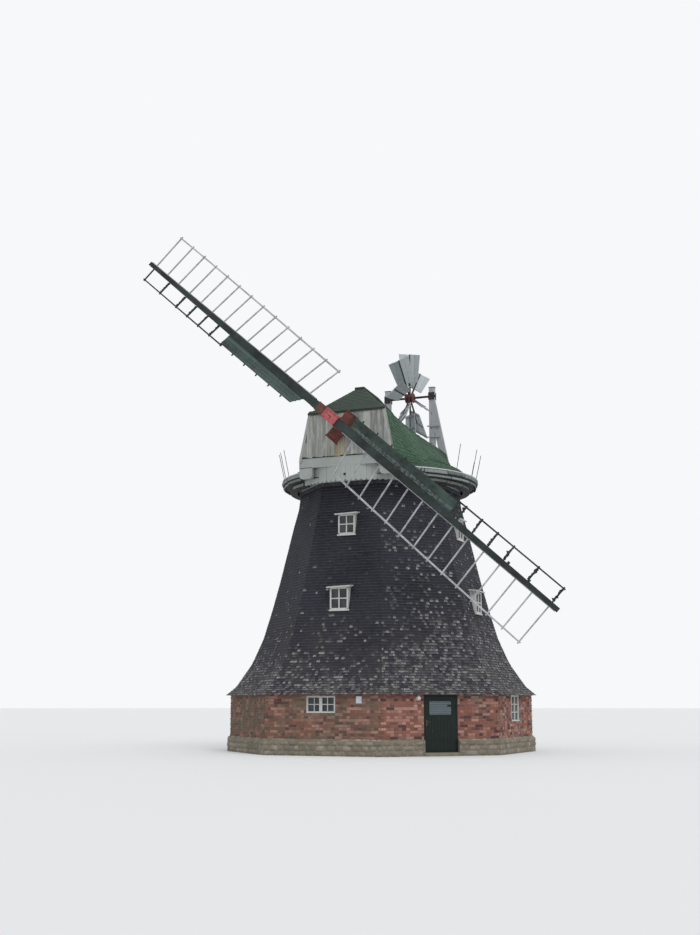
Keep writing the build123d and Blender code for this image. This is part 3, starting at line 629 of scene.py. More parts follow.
def sail_board_finish(name, color, chips):
    """Dark weathered paint of the sails, with chips of bare wood and pale scuffs on the marked boards."""
    f = Finish(name)
    tone, spot, _ = f.marks()
    f.start(f.spots(1.1, 5, 0.36, 0.66, 1.0, 0.6), shade(color, 0.72), shade(color, (2.0, 2.15, 2.1)))
    f.over(f.range(tone, 0.5, 1.0), shade(color, (2.3, 2.35, 2.5)))
    f.over(f.spots(24, 7, 0.60, 0.66, chips, 0.7), (0.20, 0.205, 0.20))
    f.over(f.spots(3.1, 4, 0.60, 0.7, 0.55, 0.6), (0.060, 0.075, 0.045))
    f.over(f.times(spot, f.spots(8, 5, 0.42, 0.6)), (0.30, 0.31, 0.30))
    return f.done(0.72, f.noise(18, 7, 0.65), 0.006, 0.5, specular=0.26)


def dark_finish(name, color):
    """Old black boards and irons, a little browner in patches, and painted shadow on the cap."""
    f = Finish(name)
    blotch = f.noise(6, 6, 0.62)
    f.start(f.range(blotch, 0.4, 0.66), color, shade(color, (1.9, 1.6, 1.4)))
    return f.done(0.78, blotch, 0.005, 0.5)


def lattice_finish(color):
    f = Finish("pale_lattice_paint")
    f.start(f.spots(3.4, 6, 0.36, 0.68, 1.0, 0.6), shade(color, 1.18), shade(color, 0.70))
    f.over(f.spots(22, 6, 0.59, 0.64, 1.0, 0.68), (0.13, 0.125, 0.115))
    return f.done(0.68, f.noise(30, 6, 0.6), 0.003, 0.4)


def fan_finish():
    """Grey fantail boards with darker streaks out from the hub."""
    f = Finish("fan_boards")
    tone, spot, _ = f.marks()
    streak = f.noise(9, 7, 0.62, f.stretched(2.0, 2.0, 0.8))
    f.start(tone, (0.21, 0.24, 0.25), (0.50, 0.54, 0.55))
    f.over(f.range(streak, 0.52, 0.76, 0, 0.55), (0.13, 0.14, 0.14))
    f.over(f.times(spot, 0.8), (0.16, 0.16, 0.15))
    return f.done(0.8, streak, 0.006, 0.5)


def iron_finish():
    f = Finish("bare_iron")
    blotch = f.noise(14, 6, 0.6)
    f.start(f.range(blotch, 0.4, 0.65), (0.115, 0.115, 0.12), (0.16, 0.105, 0.075))
    return f.done(f.range(blotch, 0.3, 0.7, 0.45, 0.75), blotch, 0.003, 0.4, metal=0.6)


def gloss_finish(name, patches, clean, dirty, rough, ripples):
    """A smooth skin, dirtier in patches, with shallow ripples."""
    f = Finish(name)
    f.start(f.spots(*patches), clean, dirty)
    return f.done(rough, f.noise(ripples, 3), 0.001, 0.2, specular=0.5)


# The finishes by key, which the first operator fills in
FINISH = {}


class MILL_OT_finishes(bpy.types.Operator):
    """Makes the finishes and gives them to the frame's own parts"""
    bl_idname = "mill.finishes"
    bl_label = "Finishes"

    def execute(self, context):
        base, tower = context.scene.mill_base, context.scene.mill_tower
        cap, sail = context.scene.mill_cap, context.scene.mill_sail
        FINISH.update({
            "stone": stone_finish(base.stone), "mortar": mortar_finish(base.mortar),
            "brick": brick_finish(base.brick), "tar": tar_finish(tower.tar), "timber": timber_finish(),
            "white": white_finish("weathered_white", base.white, 0.75),
            "beam": white_finish("beam_paint", cap.beam, 0.25),
            "posts": board_finish("post_paint", cap.post, 0.3),
            "eave": board_finish("eave_paint", cap.eave, 1.0),
            "boards": board_finish("front_boards", cap.grey, 0.7),
            "stock": sail_board_finish("stock_paint", sail.stock, 0.2),
            "sail": sail_board_finish("windboard_paint", sail.board, 0.5),
            "black": dark_finish("black_paint_and_painted_shadow", (0.022, 0.022, 0.021)),
            "glass": glass_finish(), "door_glass": door_glass_finish(), "door": door_finish(base.door),
            "roof": roof_finish(cap.green), "red": red_finish(cap.red), "rust": rust_finish(cap.red),
            "lattice": lattice_finish(sail.lattice), "fan": fan_finish(), "iron": iron_finish(),
            "enamel": gloss_finish("enamel_plate", (9, 5, 0.5, 0.75), (0.62, 0.66, 0.70),
                                   (0.40, 0.44, 0.48), 0.28, 20),
            "lamp": gloss_finish("lamp_glass", (8, 4, 0.45, 0.75), (0.66, 0.64, 0.58),
                                 (0.42, 0.40, 0.34), 0.3, 16)})
        given = {
            "mortar": "brick_walls_a brick_walls_b wall_over_door stone_plinth_a stone_plinth_b",
            "stone": "ground_floor", "tar": "smock_sides_a smock_sides_b curb_ring",
            "timber": "floor_1 floor_2 cap_ring cap_sheers cap_cross_beams shaft_bearings shaft_beams",
            "white": "smock_window_frames window_hoods base_window_frames wall_lamp",
            "beam": "front_beam corbels", "glass": "window_panes", "door_glass": "door_pane",
            "door": "door_leaf door_frame", "boards": "front_wall rear_wall", "posts": "fan_posts",
            # The skirt takes the black finish as painted shadow: its underside and the band under the lowest
            # eave tier.
            "black": "ridge_cap skirt", "roof": "roof_left roof_right", "red": "canister_front",
            "rust": "canister_rear windshaft", "stock": "stock", "iron": "rods"}
        for key, names in given.items():
            for name in names.split():
                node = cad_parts[name]
                node.data.materials.clear()
                node.data.materials.append(FINISH[key])
        return {"FINISHED"}


# The brick base

class MILL_OT_plinth_stones(bpy.types.Operator):
    """Field stones on the plinth. Each is a cushion: 1 less u to the fourth, times 1 less v to the fourth"""
    bl_idname = "mill.plinth_stones"
    bl_label = "Plinth stones"

    def execute(self, context):
        rng = np.random.default_rng(11)
        u, v = [a.ravel() for a in np.meshgrid(np.linspace(-1, 1, 7), np.linspace(-1, 1, 6), indexing="ij")]
        cushion = (1 - np.abs(u) ** 4) * (1 - np.abs(v) ** 4)
        faces = [(q, q + 6, q + 7, q + 1) for q in range(36) if q % 6 < 5]
        flat, slope = PLINTH_H - PLINTH_DROP, math.hypot(PLINTH_DROP, PLINTH_STEP)
        w = PLINTH_X * T8
        batches = []
        for k in FACETS:
            rows = np.array([0.0, 0.17, 0.335, 0.475, flat + slope])
            rows[1:4] += rng.uniform(-0.02, 0.02, 3)
            for r in range(4):
                e = cells(-w, w, 0.31, rng, shift=0.5 * (r % 2), jitter=0.3)
                y0, y1 = e[:-1], e[1:]
                if k == DOOR_FACET:
                    y0, y1 = minus(y0, y1, [(-DOOR_HALF, DOOR_HALF)])
                half_y, half_s = (y1 - y0)[:, None] / 2 - 0.008, (rows[r + 1] - rows[r]) / 2 - 0.008
                y = (y0 + y1)[:, None] / 2 + half_y * u * (1 - 0.14 * np.abs(v) ** 4)
                s = (rows[r] + rows[r + 1]) / 2 + half_s * v * (1 - 0.16 * np.abs(u) ** 4)
                s = np.broadcast_to(s, y.shape)
                bulge = rng.uniform(0.022, 0.045, len(y))[:, None] * cushion - 0.004
                bulge = bulge + rng.normal(0, 0.0022, y.shape)
                t = np.clip((s - flat) / slope, 0, 1)
                out = np.where(s <= flat, PLINTH_X + bulge, PLINTH_X - PLINTH_STEP * t + 0.48 * bulge)
                z = np.where(s <= flat, s, flat + PLINTH_DROP * t + 0.88 * bulge)
                verts = on_facet(k)(np.stack([out, y * out / PLINTH_X, z], -1))
                batches.append((verts, faces, marks_for(verts, [], rng.uniform(0, 1, len(y)), 0.0)))
        put("plinth_stones", batches, "tower", "stone", smooth=True)
        return {"FINISHED"}


class MILL_OT_wall_bricks(bpy.types.Operator):
    """Bricks in cross bond on the walls, courses of stretchers and headers in turn, toothed at the corners"""
    bl_idname = "mill.wall_bricks"
    bl_label = "Wall bricks"

    def execute(self, context):
        s = context.scene.mill_base
        rng = np.random.default_rng(23)
        w = WALL_X * T8
        batches = []
        for k in FACETS:
            openings = [window[1:] for window in BASE_WINDOWS if window[0] == k]
            if k == DOOR_FACET:
                openings.append((-DOOR_HALF, DOOR_HALF, 0.0, DOOR_HEAD))
            for row in range(COURSES):
                z0 = PLINTH_H + row * s.course
                z1 = min(z0 + s.course - s.joint, WALL_TOP)
                stretchers = row % 2 == 0
                pitch = s.stretcher if stretchers else s.stretcher / 2
                e = cells(-w, w, pitch, rng, shift=0.5 if row % 4 == 2 else 0.0, jitter=0.02)
                cuts = [(c0 - 0.004, c1 + 0.004) for c0, c1, b0, b1 in openings
                        if z1 > b0 + 0.02 and z0 < b1 - 0.02]
                y0, y1 = minus(e[:-1] + s.joint / 2, e[1:] - s.joint / 2, cuts)
                keep = y1 - y0 > 0.02
                y0, y1 = y0[keep], y1[keep]
                # One end brick of each course, right and left in turn, goes deep and passes the corner.
                end = int(np.argmax(y1)) if stretchers else int(np.argmin(y0))
                if stretchers:
                    y1[end] = w + TOOTH
                else:
                    y0[end] = -w - TOOTH
                deep = np.zeros(len(y0))
                deep[end] = 0.10
                proud = 0.009 + rng.uniform(0, 0.004, len(y0))
                x = WALL_X - deep
                c = quads((x, y0, z0), (x, y1, z0), (x, y1, z1), (x, y0, z1))
                batch = slabs(c, (1, 0, 0), proud + deep, tone=rng.uniform(0, 1, len(y0)),
                              spot=DAMP.get(k, 0.05))
                batches.append(moved(batch, on_facet(k)))
        put("wall_bricks", batches, "tower", "brick")
        return {"FINISHED"}


class MILL_OT_door_fittings(bpy.types.Operator):
    """Boards, beads, handle and sill of the door, the lamp's dome and the bare plate on the wall"""
    bl_idname = "mill.door_fittings"
    bl_label = "Door, lamp and plate"

    def execute(self, context):
        place = on_facet(DOOR_FACET)
        x = WALL_X - 0.015
        rng = np.random.default_rng(5)
        e = np.linspace(-0.46, 0.46, 9)
        leaf = [boxes(x - 0.004, x + 0.007, e[:-1] + 0.003, e[1:] - 0.003, *heights, 0.003,
                      rng.uniform(0, 1, 8)) for heights in ((0.165, 0.415), (0.485, 1.245))]
        leaf += [boxes(x - 0.012, x + 0.012, *bead, 0.006)
                 for bead in ((-0.445, -0.41, 1.295, 1.815), (0.41, 0.445, 1.295, 1.60),
                              (-0.41, 0.41, 1.295, 1.33), (-0.41, 0.41, 1.78, 1.815))]
        put("door_boards", leaf, "door", "door", place)
        plate = boxes(x - 0.002, x + 0.005, -0.525, -0.488, 0.98, 1.16, 0.003)
        path = np.array([(0.0, -0.507, 1.10), (0.045, -0.507, 1.10), (0.055, -0.50, 1.10),
                         (0.055, -0.42, 1.098), (0.053, -0.39, 1.095)])
        ring = np.linspace(0, 2 * math.pi, 8, endpoint=False)[:, None]
        rings = []
        for i, p in enumerate(path):
            side = unit(np.cross(unit(path[min(i + 1, 4)] - path[max(i - 1, 0)]), UP))
            rings.append(p + 0.010 * (np.cos(ring) * side + np.sin(ring) * UP) + np.array([x, 0, 0]))
        lever = grid(np.array(rings), wrap_v=True, ends=True, flip=True)
        put("door_handle", [plate, lever], "door", "iron", place)
        sill = boxes(WALL_X - 0.02, WALL_X + 0.14, -0.66, 0.66, 0.0, 0.105, 0.01)
        put("door_step", [sill], "tower", "stone", place)
        dome = lathe([(0.001, 0.052), (0.022, 0.050), (0.042, 0.042), (0.056, 0.028), (0.064, 0.010),
                      (0.066, -0.01), (0.001, -0.01)], 20)
        dome = moved(dome, lambda p: p @ turn("y", 90).T + np.array([WALL_X + 0.083, -0.826, 1.874]))
        put("lamp_dome", [dome], "tower", "lamp", place, smooth=True)
        bare = [boxes(WALL_X + 0.004, WALL_X + 0.020, 1.185, 1.385, 1.705, 1.935, 0.006),
                boxes(WALL_X + 0.019, WALL_X + 0.024, 1.205, 1.365, 1.725, 1.915, 0.004)]
        put("wall_plate", bare, "tower", "enamel", on_facet(-1))
        return {"FINISHED"}


class MILL_OT_window_trims(bpy.types.Operator):
    """Sills, hoods, mullions and meeting stiles round the windows"""
    bl_idname = "mill.window_trims"
    bl_label = "Window trims"

    def execute(self, context):
        batches = []
        for k, half, z0, z1 in SMOCK_WINDOWS:
            front, wall = float(smock_x(z0)) + 0.04, float(smock_x(z1))
            x, mid = front - 0.002, (z0 + z1) / 2
            parts = [boxes(front - 0.10, front + 0.035, -half - 0.03, half + 0.03, z0 - 0.05, z0 + 0.004,
                           0.006)]
            parts += [boxes(x, front + 0.012, *rail) for rail in (
                (-half, -half + 0.055, z0, z1), (half - 0.055, half, z0, z1),
                (-half, half, z1 - 0.055, z1), (-half, half, z0, z0 + 0.055))]
            parts += [boxes(x, front + 0.006, *bar, 0.003) for bar in (
                (-0.022, 0.022, z0 + 0.05, z1 - 0.05), (-half + 0.05, half - 0.05, mid - 0.02, mid + 0.02))]
            hood = boxes(wall - 0.10, front + 0.12, -half - 0.10, half + 0.10, z1 + 0.030, z1 + 0.072, 0.006)
            tilt = 0.035 if k in (-1, 3) else -0.02
            hood[0][..., 2] += (hood[0][..., 0] - wall) * -0.10 + hood[0][..., 1] * tilt
            batches += [moved(b, on_facet(k)) for b in parts + [hood]]
        put("smock_window_trims", batches, "tower", "white")
        batches = []
        for k, y0, y1, z0, z1 in BASE_WINDOWS:
            mid, low, high = (y0 + y1) / 2, z0 + 0.04, z1 - 0.04
            parts = [(0.022, y0, y0 + 0.05, z0, z1), (0.022, y1 - 0.05, y1, z0, z1),
                     (0.022, y0 + 0.05, y1 - 0.05, z1 - 0.05, z1), (0.045, y0, y1, z0, z0 + 0.045, 0.006)]
            if y1 - y0 > 1.0:
                parts.append((0.026, mid - 0.055, mid + 0.055, low, high, 0.005))
                parts += [(0.010, y - 0.014, y + 0.014, low, high, 0.003) for y in (mid - 0.242, mid + 0.242)]
            else:
                parts.append((0.010, mid - 0.018, mid + 0.018, low, high, 0.003))
            batches += [moved(boxes(WALL_X - 0.03, WALL_X - 0.02 + proud, *rest), on_facet(k))
                        for proud, *rest in parts]
        put("base_window_trims", batches, "tower", "white")
        return {"FINISHED"}


# The tower

class MILL_OT_tower_shingles(bpy.types.Operator):
    """Shingles in level courses up the curved sides, cut round the windows, with lichen towards the eave"""
    bl_idname = "mill.tower_shingles"
    bl_label = "Tower shingles"

    def execute(self, context):
        s = context.scene.mill_tower
        rng = np.random.default_rng(37)
        x_line, z_line = SMOCK[:, 1] * C8, SMOCK[:, 0]
        run = np.concatenate([[0], np.cumsum(np.hypot(np.diff(x_line), np.diff(z_line)))])
        n = int(round(run[-1] / s.exposure))
        stops = np.linspace(0, run[-1], n + 1)
        xs, zs = np.interp(stops, run, x_line), np.interp(stops, run, z_line)
        rows = {"a": [], "b": []}
        for k in FACETS:
            windows = [window[1:] for window in SMOCK_WINDOWS if window[0] == k]
            for i in range(n):
                x0, x1, z0, z1 = xs[i], xs[i + 1], zs[i], zs[i + 1]
                w = x0 * T8 + 0.004
                e = cells(-w, w, s.width, rng, shift=0.5 * (i % 2), jitter=0.16)
                cuts = [(-h - 0.012, h + 0.012) for h, a, b in windows if z1 > a - 0.02 and z0 < b + 0.05]
                y0, y1 = minus(e[:-1], e[1:], cuts)
                keep = y1 - y0 > 0.012
                y0, y1 = y0[keep] + 0.0022, y1[keep] - 0.0022
                m = len(y0)
                if not m:
                    continue
                pull = x1 / x0
                drop = 0.004 + rng.uniform(-0.006, 0.006, m)
                skew = rng.uniform(-0.003, 0.003, m)
                slope = unit(np.array([z1 - z0, 0.0, x0 - x1]))
                down = unit(np.array([x0 - x1, 0.0, z0 - z1]))
                c = quads((x0 + down[0] * (drop + skew), y0, z0 + down[2] * (drop + skew)),
                          (x0 + down[0] * (drop - skew), y1, z0 + down[2] * (drop - skew)),
                          (x1, y1 * pull, z1), (x1, y0 * pull, z1))
                at = on_facet(k)(c[:, 0])
                tone = np.clip(0.5 * rng.uniform(0, 1, m) + 0.5 * patchy(at, 3, 1.6), 0, 1)
                high_up = z0 - EAVE_Z
                chance = 0.005 + s.lichen * math.exp(-high_up / 0.85)
                chance += (0.80 if k in (0, 1) else 0.03) * math.exp(-high_up / 2.3)
                clump = 0.45 + 1.3 * patchy(at, 8, 0.55) * patchy(at, 9, 1.4)
                lichen = rng.uniform(0, 1, m) < np.minimum(1.6 * chance * clump, 0.8)
                lichen = lichen * (0.10 + 0.75 * rng.uniform(0, 1, m) ** 2.6)
                batch = shingles(c, slope, s.thickness + rng.uniform(-0.004, 0.004, m), 0.002, tone, lichen)
                rows["a" if k % 2 else "b"].append(moved(batch, on_facet(k)))
        # A pale strip runs round the head of the tower, on the curb.
        x = 3.04 * C8
        strip = boxes(x - 0.01, x + 0.014, -x * T8, x * T8, CAP_Z - 0.085, CAP_Z - 0.006)
        put("curb_strip", [moved(strip, on_facet(k)) for k in range(8)], "tower", "beam")
        for key in rows:
            put("tower_shingles_" + key, rows[key], "tower", "tar")
        return {"FINISHED"}


# The cap

def roof_sections():
    """Each roof rib as one line of twelve points, from the ridge down one side and up the other."""
    return [np.array([(s, -d, z) for s, z in pts] + [(-s, -d, z) for s, z in pts[::-1]]) for d, pts in ROOF]


def roof_patch(a, b, j, u, v):
    """A point on the roof between ribs a and b in band j, and its triangle's normal. The two triangles of the
    patch meet on u = v, where u runs down the rib and v from rib a to rib b."""
    aj, ak, bj, bk = a[j], a[j + 1], b[j], b[j + 1]
    u, v = np.asarray(u)[..., None], np.asarray(v)[..., None]
    first = aj + u * (ak - aj) + v * (bk - ak)
    second = aj + v * (bj - aj) + u * (bk - bj)
    n1, n2 = unit(np.cross(bk - ak, ak - aj)), unit(np.cross(bj - aj, bk - bj))
    return np.where(u >= v, first, second), np.where(u >= v, n1 * np.sign(n1[2]), n2 * np.sign(n2[2]))


def side_shingles(s, rng):
    """The cap's two curved sides: courses across each band between two ribs, half a shingle apart in turn."""
    batches = []
    sections = roof_sections()
    for j in (0, 1, 2, 3, 4, 6, 7, 8, 9, 10):
        left_side = j > 5
        drop = np.mean([np.linalg.norm(q[j + 1] - q[j]) for q in sections])
        rows = max(int(round(drop / s.exposure)), 1)
        for a, b in zip(sections[:-1], sections[1:]):
            across = np.linalg.norm((b[j] + b[j + 1] - a[j] - a[j + 1]) / 2)
            cols = max(int(round(across / SHINGLE_W)), 1)
            r, c = [q.ravel() for q in np.meshgrid(np.arange(rows), np.arange(cols), indexing="ij")]
            shift = np.where(r % 2 == 0, 0.0, 0.5)
            v0, v1 = np.clip((c + shift) / cols, 0, 1), np.clip((c + shift + 1) / cols, 0, 1)
            v0 = np.where(c == 0, 0.0, v0)
            keep = v1 - v0 > 0.01
            gap = 0.0035 / max(across, 0.1)
            r, v0, v1 = r[keep], v0[keep] + gap, v1[keep] - gap
            top, low = r / rows, (r + 1) / rows + 0.05 / rows
            if left_side:
                top, low = 1 - top, 1 - low
            low = np.clip(low, 0, 1)
            corners = [roof_patch(a, b, j, u, v) for u, v in ((low, v1), (low, v0), (top, v0), (top, v1))]
            c4 = np.stack([p for p, _ in corners], 1)
            n = unit(np.mean([q for _, q in corners], 0))
            if np.mean(np.sum(np.cross(c4[:, 1] - c4[:, 0], c4[:, 3] - c4[:, 0]) * n, -1)) < 0:
                c4 = c4[:, [1, 0, 3, 2]]
            m = len(c4)
            tone = 0.6 * rng.uniform(0, 1, m) + 0.4 * patchy(c4[:, 0], 5, 0.9)
            # Painted shade: the whole left side is marked dark, and the right side towards the rear a little.
            dark = 0.75 if left_side else np.where(c4[:, 0, 1] > 0.55, 0.35, 0.0)
            batches.append(shingles(c4, n, 0.017 + rng.uniform(-0.004, 0.004, m), 0.004, tone, dark))
    return batches


def hip_shingles(rng):
    """The hips and the hip's eave: courses run across between two lines, the lower of them first."""
    drip, level = [[np.array([side * HIP_HALF, y, z]) for side in (LEFT, RIGHT)]
                   for y, z in ((-3.362, 2.388), (-3.19, 2.510))]
    ribs = [(q[11], q[0]) for q in roof_sections()]
    batches = []
    for lower, upper, rows in ((drip, level, 2), (ribs[0], ribs[1], 4), (ribs[1], ribs[2], 9),
                               (ribs[6], ribs[5], 10)):
        for r in range(rows):
            t0, t1 = max(r / rows - 0.05 / rows, 0), (r + 1) / rows
            left0, right0 = [a + (b - a) * t0 for a, b in zip(lower, upper)]
            left1, right1 = [a + (b - a) * t1 for a, b in zip(lower, upper)]
            width = np.linalg.norm(right0 - left0)
            e = cells(0, 1, SHINGLE_W / width, rng, shift=0.5 * (r % 2), jitter=0.12)
            u0, u1 = (e[:-1] + 0.003 / width)[:, None], (e[1:] - 0.003 / width)[:, None]
            c4 = np.stack([left0 + (right0 - left0) * u0, left0 + (right0 - left0) * u1,
                           left1 + (right1 - left1) * u1, left1 + (right1 - left1) * u0], 1)
            n = unit(np.cross(c4[0, 1] - c4[0, 0], c4[0, 3] - c4[0, 0]))
            if n[2] < 0:
                n, c4 = -n, c4[:, [1, 0, 3, 2]]
            batches.append(shingles(c4, n, 0.018, 0.006, rng.uniform(0, 1, len(c4)), 0.92))
    return batches


def skirt_shingles(rng):
    """The flared skirt: rings of shingles down the flare, wherever no roof or front wall covers them."""
    prof = np.array(SKIRT[::-1])
    run = np.concatenate([[0], np.cumsum(np.hypot(*np.diff(prof, axis=0).T))])
    rows = int(round(run[-1] / 0.115))
    stops = np.linspace(0, run[-1], rows + 1)
    radii, heights = np.interp(stops, run, prof[:, 0]), np.interp(stops, run, prof[:, 1])
    ribs = ROOF[::-1]
    batches = []
    for r in range(rows):
        (hi_r, lo_r), (hi_z, lo_z) = radii[r:r + 2], heights[r:r + 2]
        columns = int(round(2 * math.pi * lo_r / SHINGLE_W / CAP_SIDES)) * CAP_SIDES
        gap = 0.003 / lo_r
        t0 = (np.arange(columns) + 0.5 * (r % 2)) * 2 * math.pi / columns + gap
        t1 = t0 + 2 * math.pi / columns - 2 * gap
        c4 = np.stack([ring_points(t, [radius], [z])[:, 0] for t, radius, z in
                       ((t0, lo_r, lo_z), (t1, lo_r, lo_z), (t1, hi_r, hi_z), (t0, hi_r, hi_z))], 1)
        mid = c4.mean(1)
        d, z = -mid[:, 1], (lo_z + hi_z) / 2
        side = np.interp(d, [q for q, _ in ribs],
                         [np.interp(-z, [-high for _, high in pts], [x for x, _ in pts]) for _, pts in ribs])
        side = np.where((d > 3.3) | (d < -2.75), -1, side)
        c4 = c4[(np.abs(mid[:, 0]) > side - 0.03) & (d < 3.17)]
        n = unit(np.cross(c4[:, 1] - c4[:, 0], c4[:, 3] - c4[:, 0]))
        # Painted shade: the skirt's left half is marked darkest and the rear of the right half darker.
        dark = np.where(c4[:, 0, 0] < 0, 0.85, np.where(c4[:, 0, 1] > 0.4, 0.55, 0.1))
        if len(c4):
            batches.append(shingles(c4, n, 0.017, 0.004, rng.uniform(0, 1, len(c4)), dark))
    return batches


class MILL_OT_roof_shingles(bpy.types.Operator):
    """Green shingles on the cap's sides, hips and flared skirt, laid on the frame's own faces"""
    bl_idname = "mill.roof_shingles"
    bl_label = "Roof shingles"

    def execute(self, context):
        rng = np.random.default_rng(41)
        batches = side_shingles(context.scene.mill_cap, rng) + hip_shingles(rng) + skirt_shingles(rng)
        put("roof_shingles", batches, "cap", "roof", on_cap)
        board = front_boxes(-1.495, 1.495, -3.366, -3.348, 2.350, 2.396)
        put("hip_drip_board", [board], "cap", "black", on_cap)
        return {"FINISHED"}


class MILL_OT_front_boards(bpy.types.Operator):
    """Upright boards on the front wall, each leaning out a little to its ragged foot over the white beam"""
    bl_idname = "mill.front_boards"
    bl_label = "Front boards"

    def execute(self, context):
        rng = np.random.default_rng(53)
        # The wall's outline, from the foot up: places out from the middle, and the heights over them.
        edge_s, edge_z = [1.806, 1.80, 1.63, 1.48, 1.40, 1.354], [0.60, 0.768, 1.618, 2.398, 2.473, 2.508]
        e = cells(-1.80, 1.80, context.scene.mill_cap.board, rng, jitter=0.26)
        feet = BEAM_TOP + rng.uniform(0.008, 0.052, len(e) - 1)
        tones = rng.uniform(0, 1, len(e) - 1)
        batches = []
        for left, right, foot, tone in zip(e[:-1] + 0.003, e[1:] - 0.003, feet, tones):
            top = float(np.interp([-abs(left), -abs(right)], np.negative(edge_s), edge_z).min()) - 0.012
            if abs(left + right) < 2 * HIP_HALF + 0.02:
                top = min(top, BOARD_TOP)
            if top - foot < 0.05:
                continue
            lift = rng.uniform(0, 0.008)
            z = foot + (top - foot) * np.linspace(0, 1, 10)
            y = GABLE_Y - np.interp(z, [0.74, 2.45], [0.066, 0.004]) - lift
            c = quads((left, y[:-1], z[:-1]), (right, y[:-1], z[:-1]), (right, y[1:], z[1:]),
                      (left, y[1:], z[1:]))
            c[0, 0, 2] += rng.uniform(-0.012, 0.012)
            c[0, 1, 2] += rng.uniform(-0.012, 0.012)
            stain = np.exp(-(((left + right) / 2 + 0.23) / 0.22) ** 2)
            stain = stain * np.interp((z[:-1] + z[1:]) / 2, [0.7, 1.05, 1.5], [1.0, 0.85, 0.0])
            out = unit(np.array([0, -1.0, -0.035]))
            verts, faces, marks = slabs(c, out, 0.020, 0.0, tone=tone, spot=stain)
            verts[1:, [0, 1, 4, 5]] = verts[:-1, [3, 2, 7, 6]]
            marks[..., 2] = (verts[..., 2] - foot) / (top - foot)
            batches.append((verts, faces, marks))
        put("front_boards", batches, "cap", "boards", on_cap)
        # Painted shadow: black strips behind the boards' ragged feet over the beam, and thin ones on the
        # brackets just under the beam.
        shadow_strips = [front_boxes(-1.79, 1.79, GABLE_Y - 0.045, GABLE_Y - 0.002, 0.740, 0.80, 0.002)]
        shadow_strips += [studs(x, -3.381, -3.36, 0.392, 0.25, 0.008, 0.002) for x in (-1.55, 1.55)]
        put("front_painted_shadows", shadow_strips, "cap", "black", on_cap)
        trims = []
        for sign in (LEFT, RIGHT):
            line = ((1.812, 0.60), (1.80, 0.768), (1.63, 1.618), (1.48, 2.398))
            for (sa, za), (sb, zb) in zip(line[:-1], line[1:]):
                (a0, a1), (b0, b1) = [sorted((sign * q, sign * (q - 0.10))) for q in (sa, sb)]
                ya, yb = GABLE_Y - np.interp([za, zb], [0.74, 2.45], [0.074, 0.014])
                c = quads((a0, ya, za), (a1, ya, za), (b1, yb, zb), (b0, yb, zb))
                trims.append(slabs(c, (0, -1, 0), 0.026, back=True, tone=0.7))
        put("front_corner_boards", trims, "cap", "boards", on_cap)
        return {"FINISHED"}


class MILL_OT_eave_boards(bpy.types.Operator):
    """Three tiers of curved boards round the eave. The profile is a half round: radius plus a bulge of cos"""
    bl_idname = "mill.eave_boards"
    bl_label = "Eave boards"

    def execute(self, context):
        rng = np.random.default_rng(61)
        open_angle = math.acos(3.19 / CAP_R) + math.radians(1.0)
        gap = math.radians(0.25)
        batches = []
        # The lowest tier stops above the skirt's foot, so the black skirt shows under it as a band of painted
        # shadow.
        tiers = ((CAP_R - 0.004, 0.128, 0.246, 0.030, open_angle, 19),
                 (CAP_R - 0.040, 0.000, 0.082, 0.018, open_angle, 17),
                 (APRON_R + 0.014, -0.112, -0.010, 0.028, math.radians(33.6), 18))
        for radius, z0, z1, bulge, start, count in tiers:
            width = (2 * math.pi - 2 * start) / count
            for i in range(count):
                a = np.linspace(start + width * i + gap, start + width * (i + 1) - gap, 7)
                p = np.linspace(-math.pi / 2, math.pi / 2, 9)
                shift, drop = rng.uniform(-0.034, 0.012), rng.uniform(-0.032, 0.012)
                r = np.append(radius + shift + bulge * np.cos(p) ** 0.6, [radius - 0.035, radius - 0.035])
                z = np.append((z0 + z1) / 2 + drop + (z1 - z0) / 2 * np.sin(p), [z1 - 0.006, z0 + 0.006])
                batches.append(grid(ring_points(a, r, z), wrap_v=True, ends=True, flip=True,
                                    tone=rng.uniform(0.1, 1.0)))
        put("eave_boards", batches, "cap", "eave", on_cap)
        a = np.linspace(open_angle, 2 * math.pi - open_angle, 74)
        points = ring_points(a, [CAP_R + 0.012, CAP_R + 0.018, CAP_R + 0.012, CAP_R - 0.045, CAP_R - 0.045],
                             [0.250, 0.272, 0.286, 0.306, 0.282])
        strip = grid(points, wrap_v=True, ends=True, flip=True)
        put("eave_edge_strip", [strip], "cap", "white", on_cap)
        return {"FINISHED"}


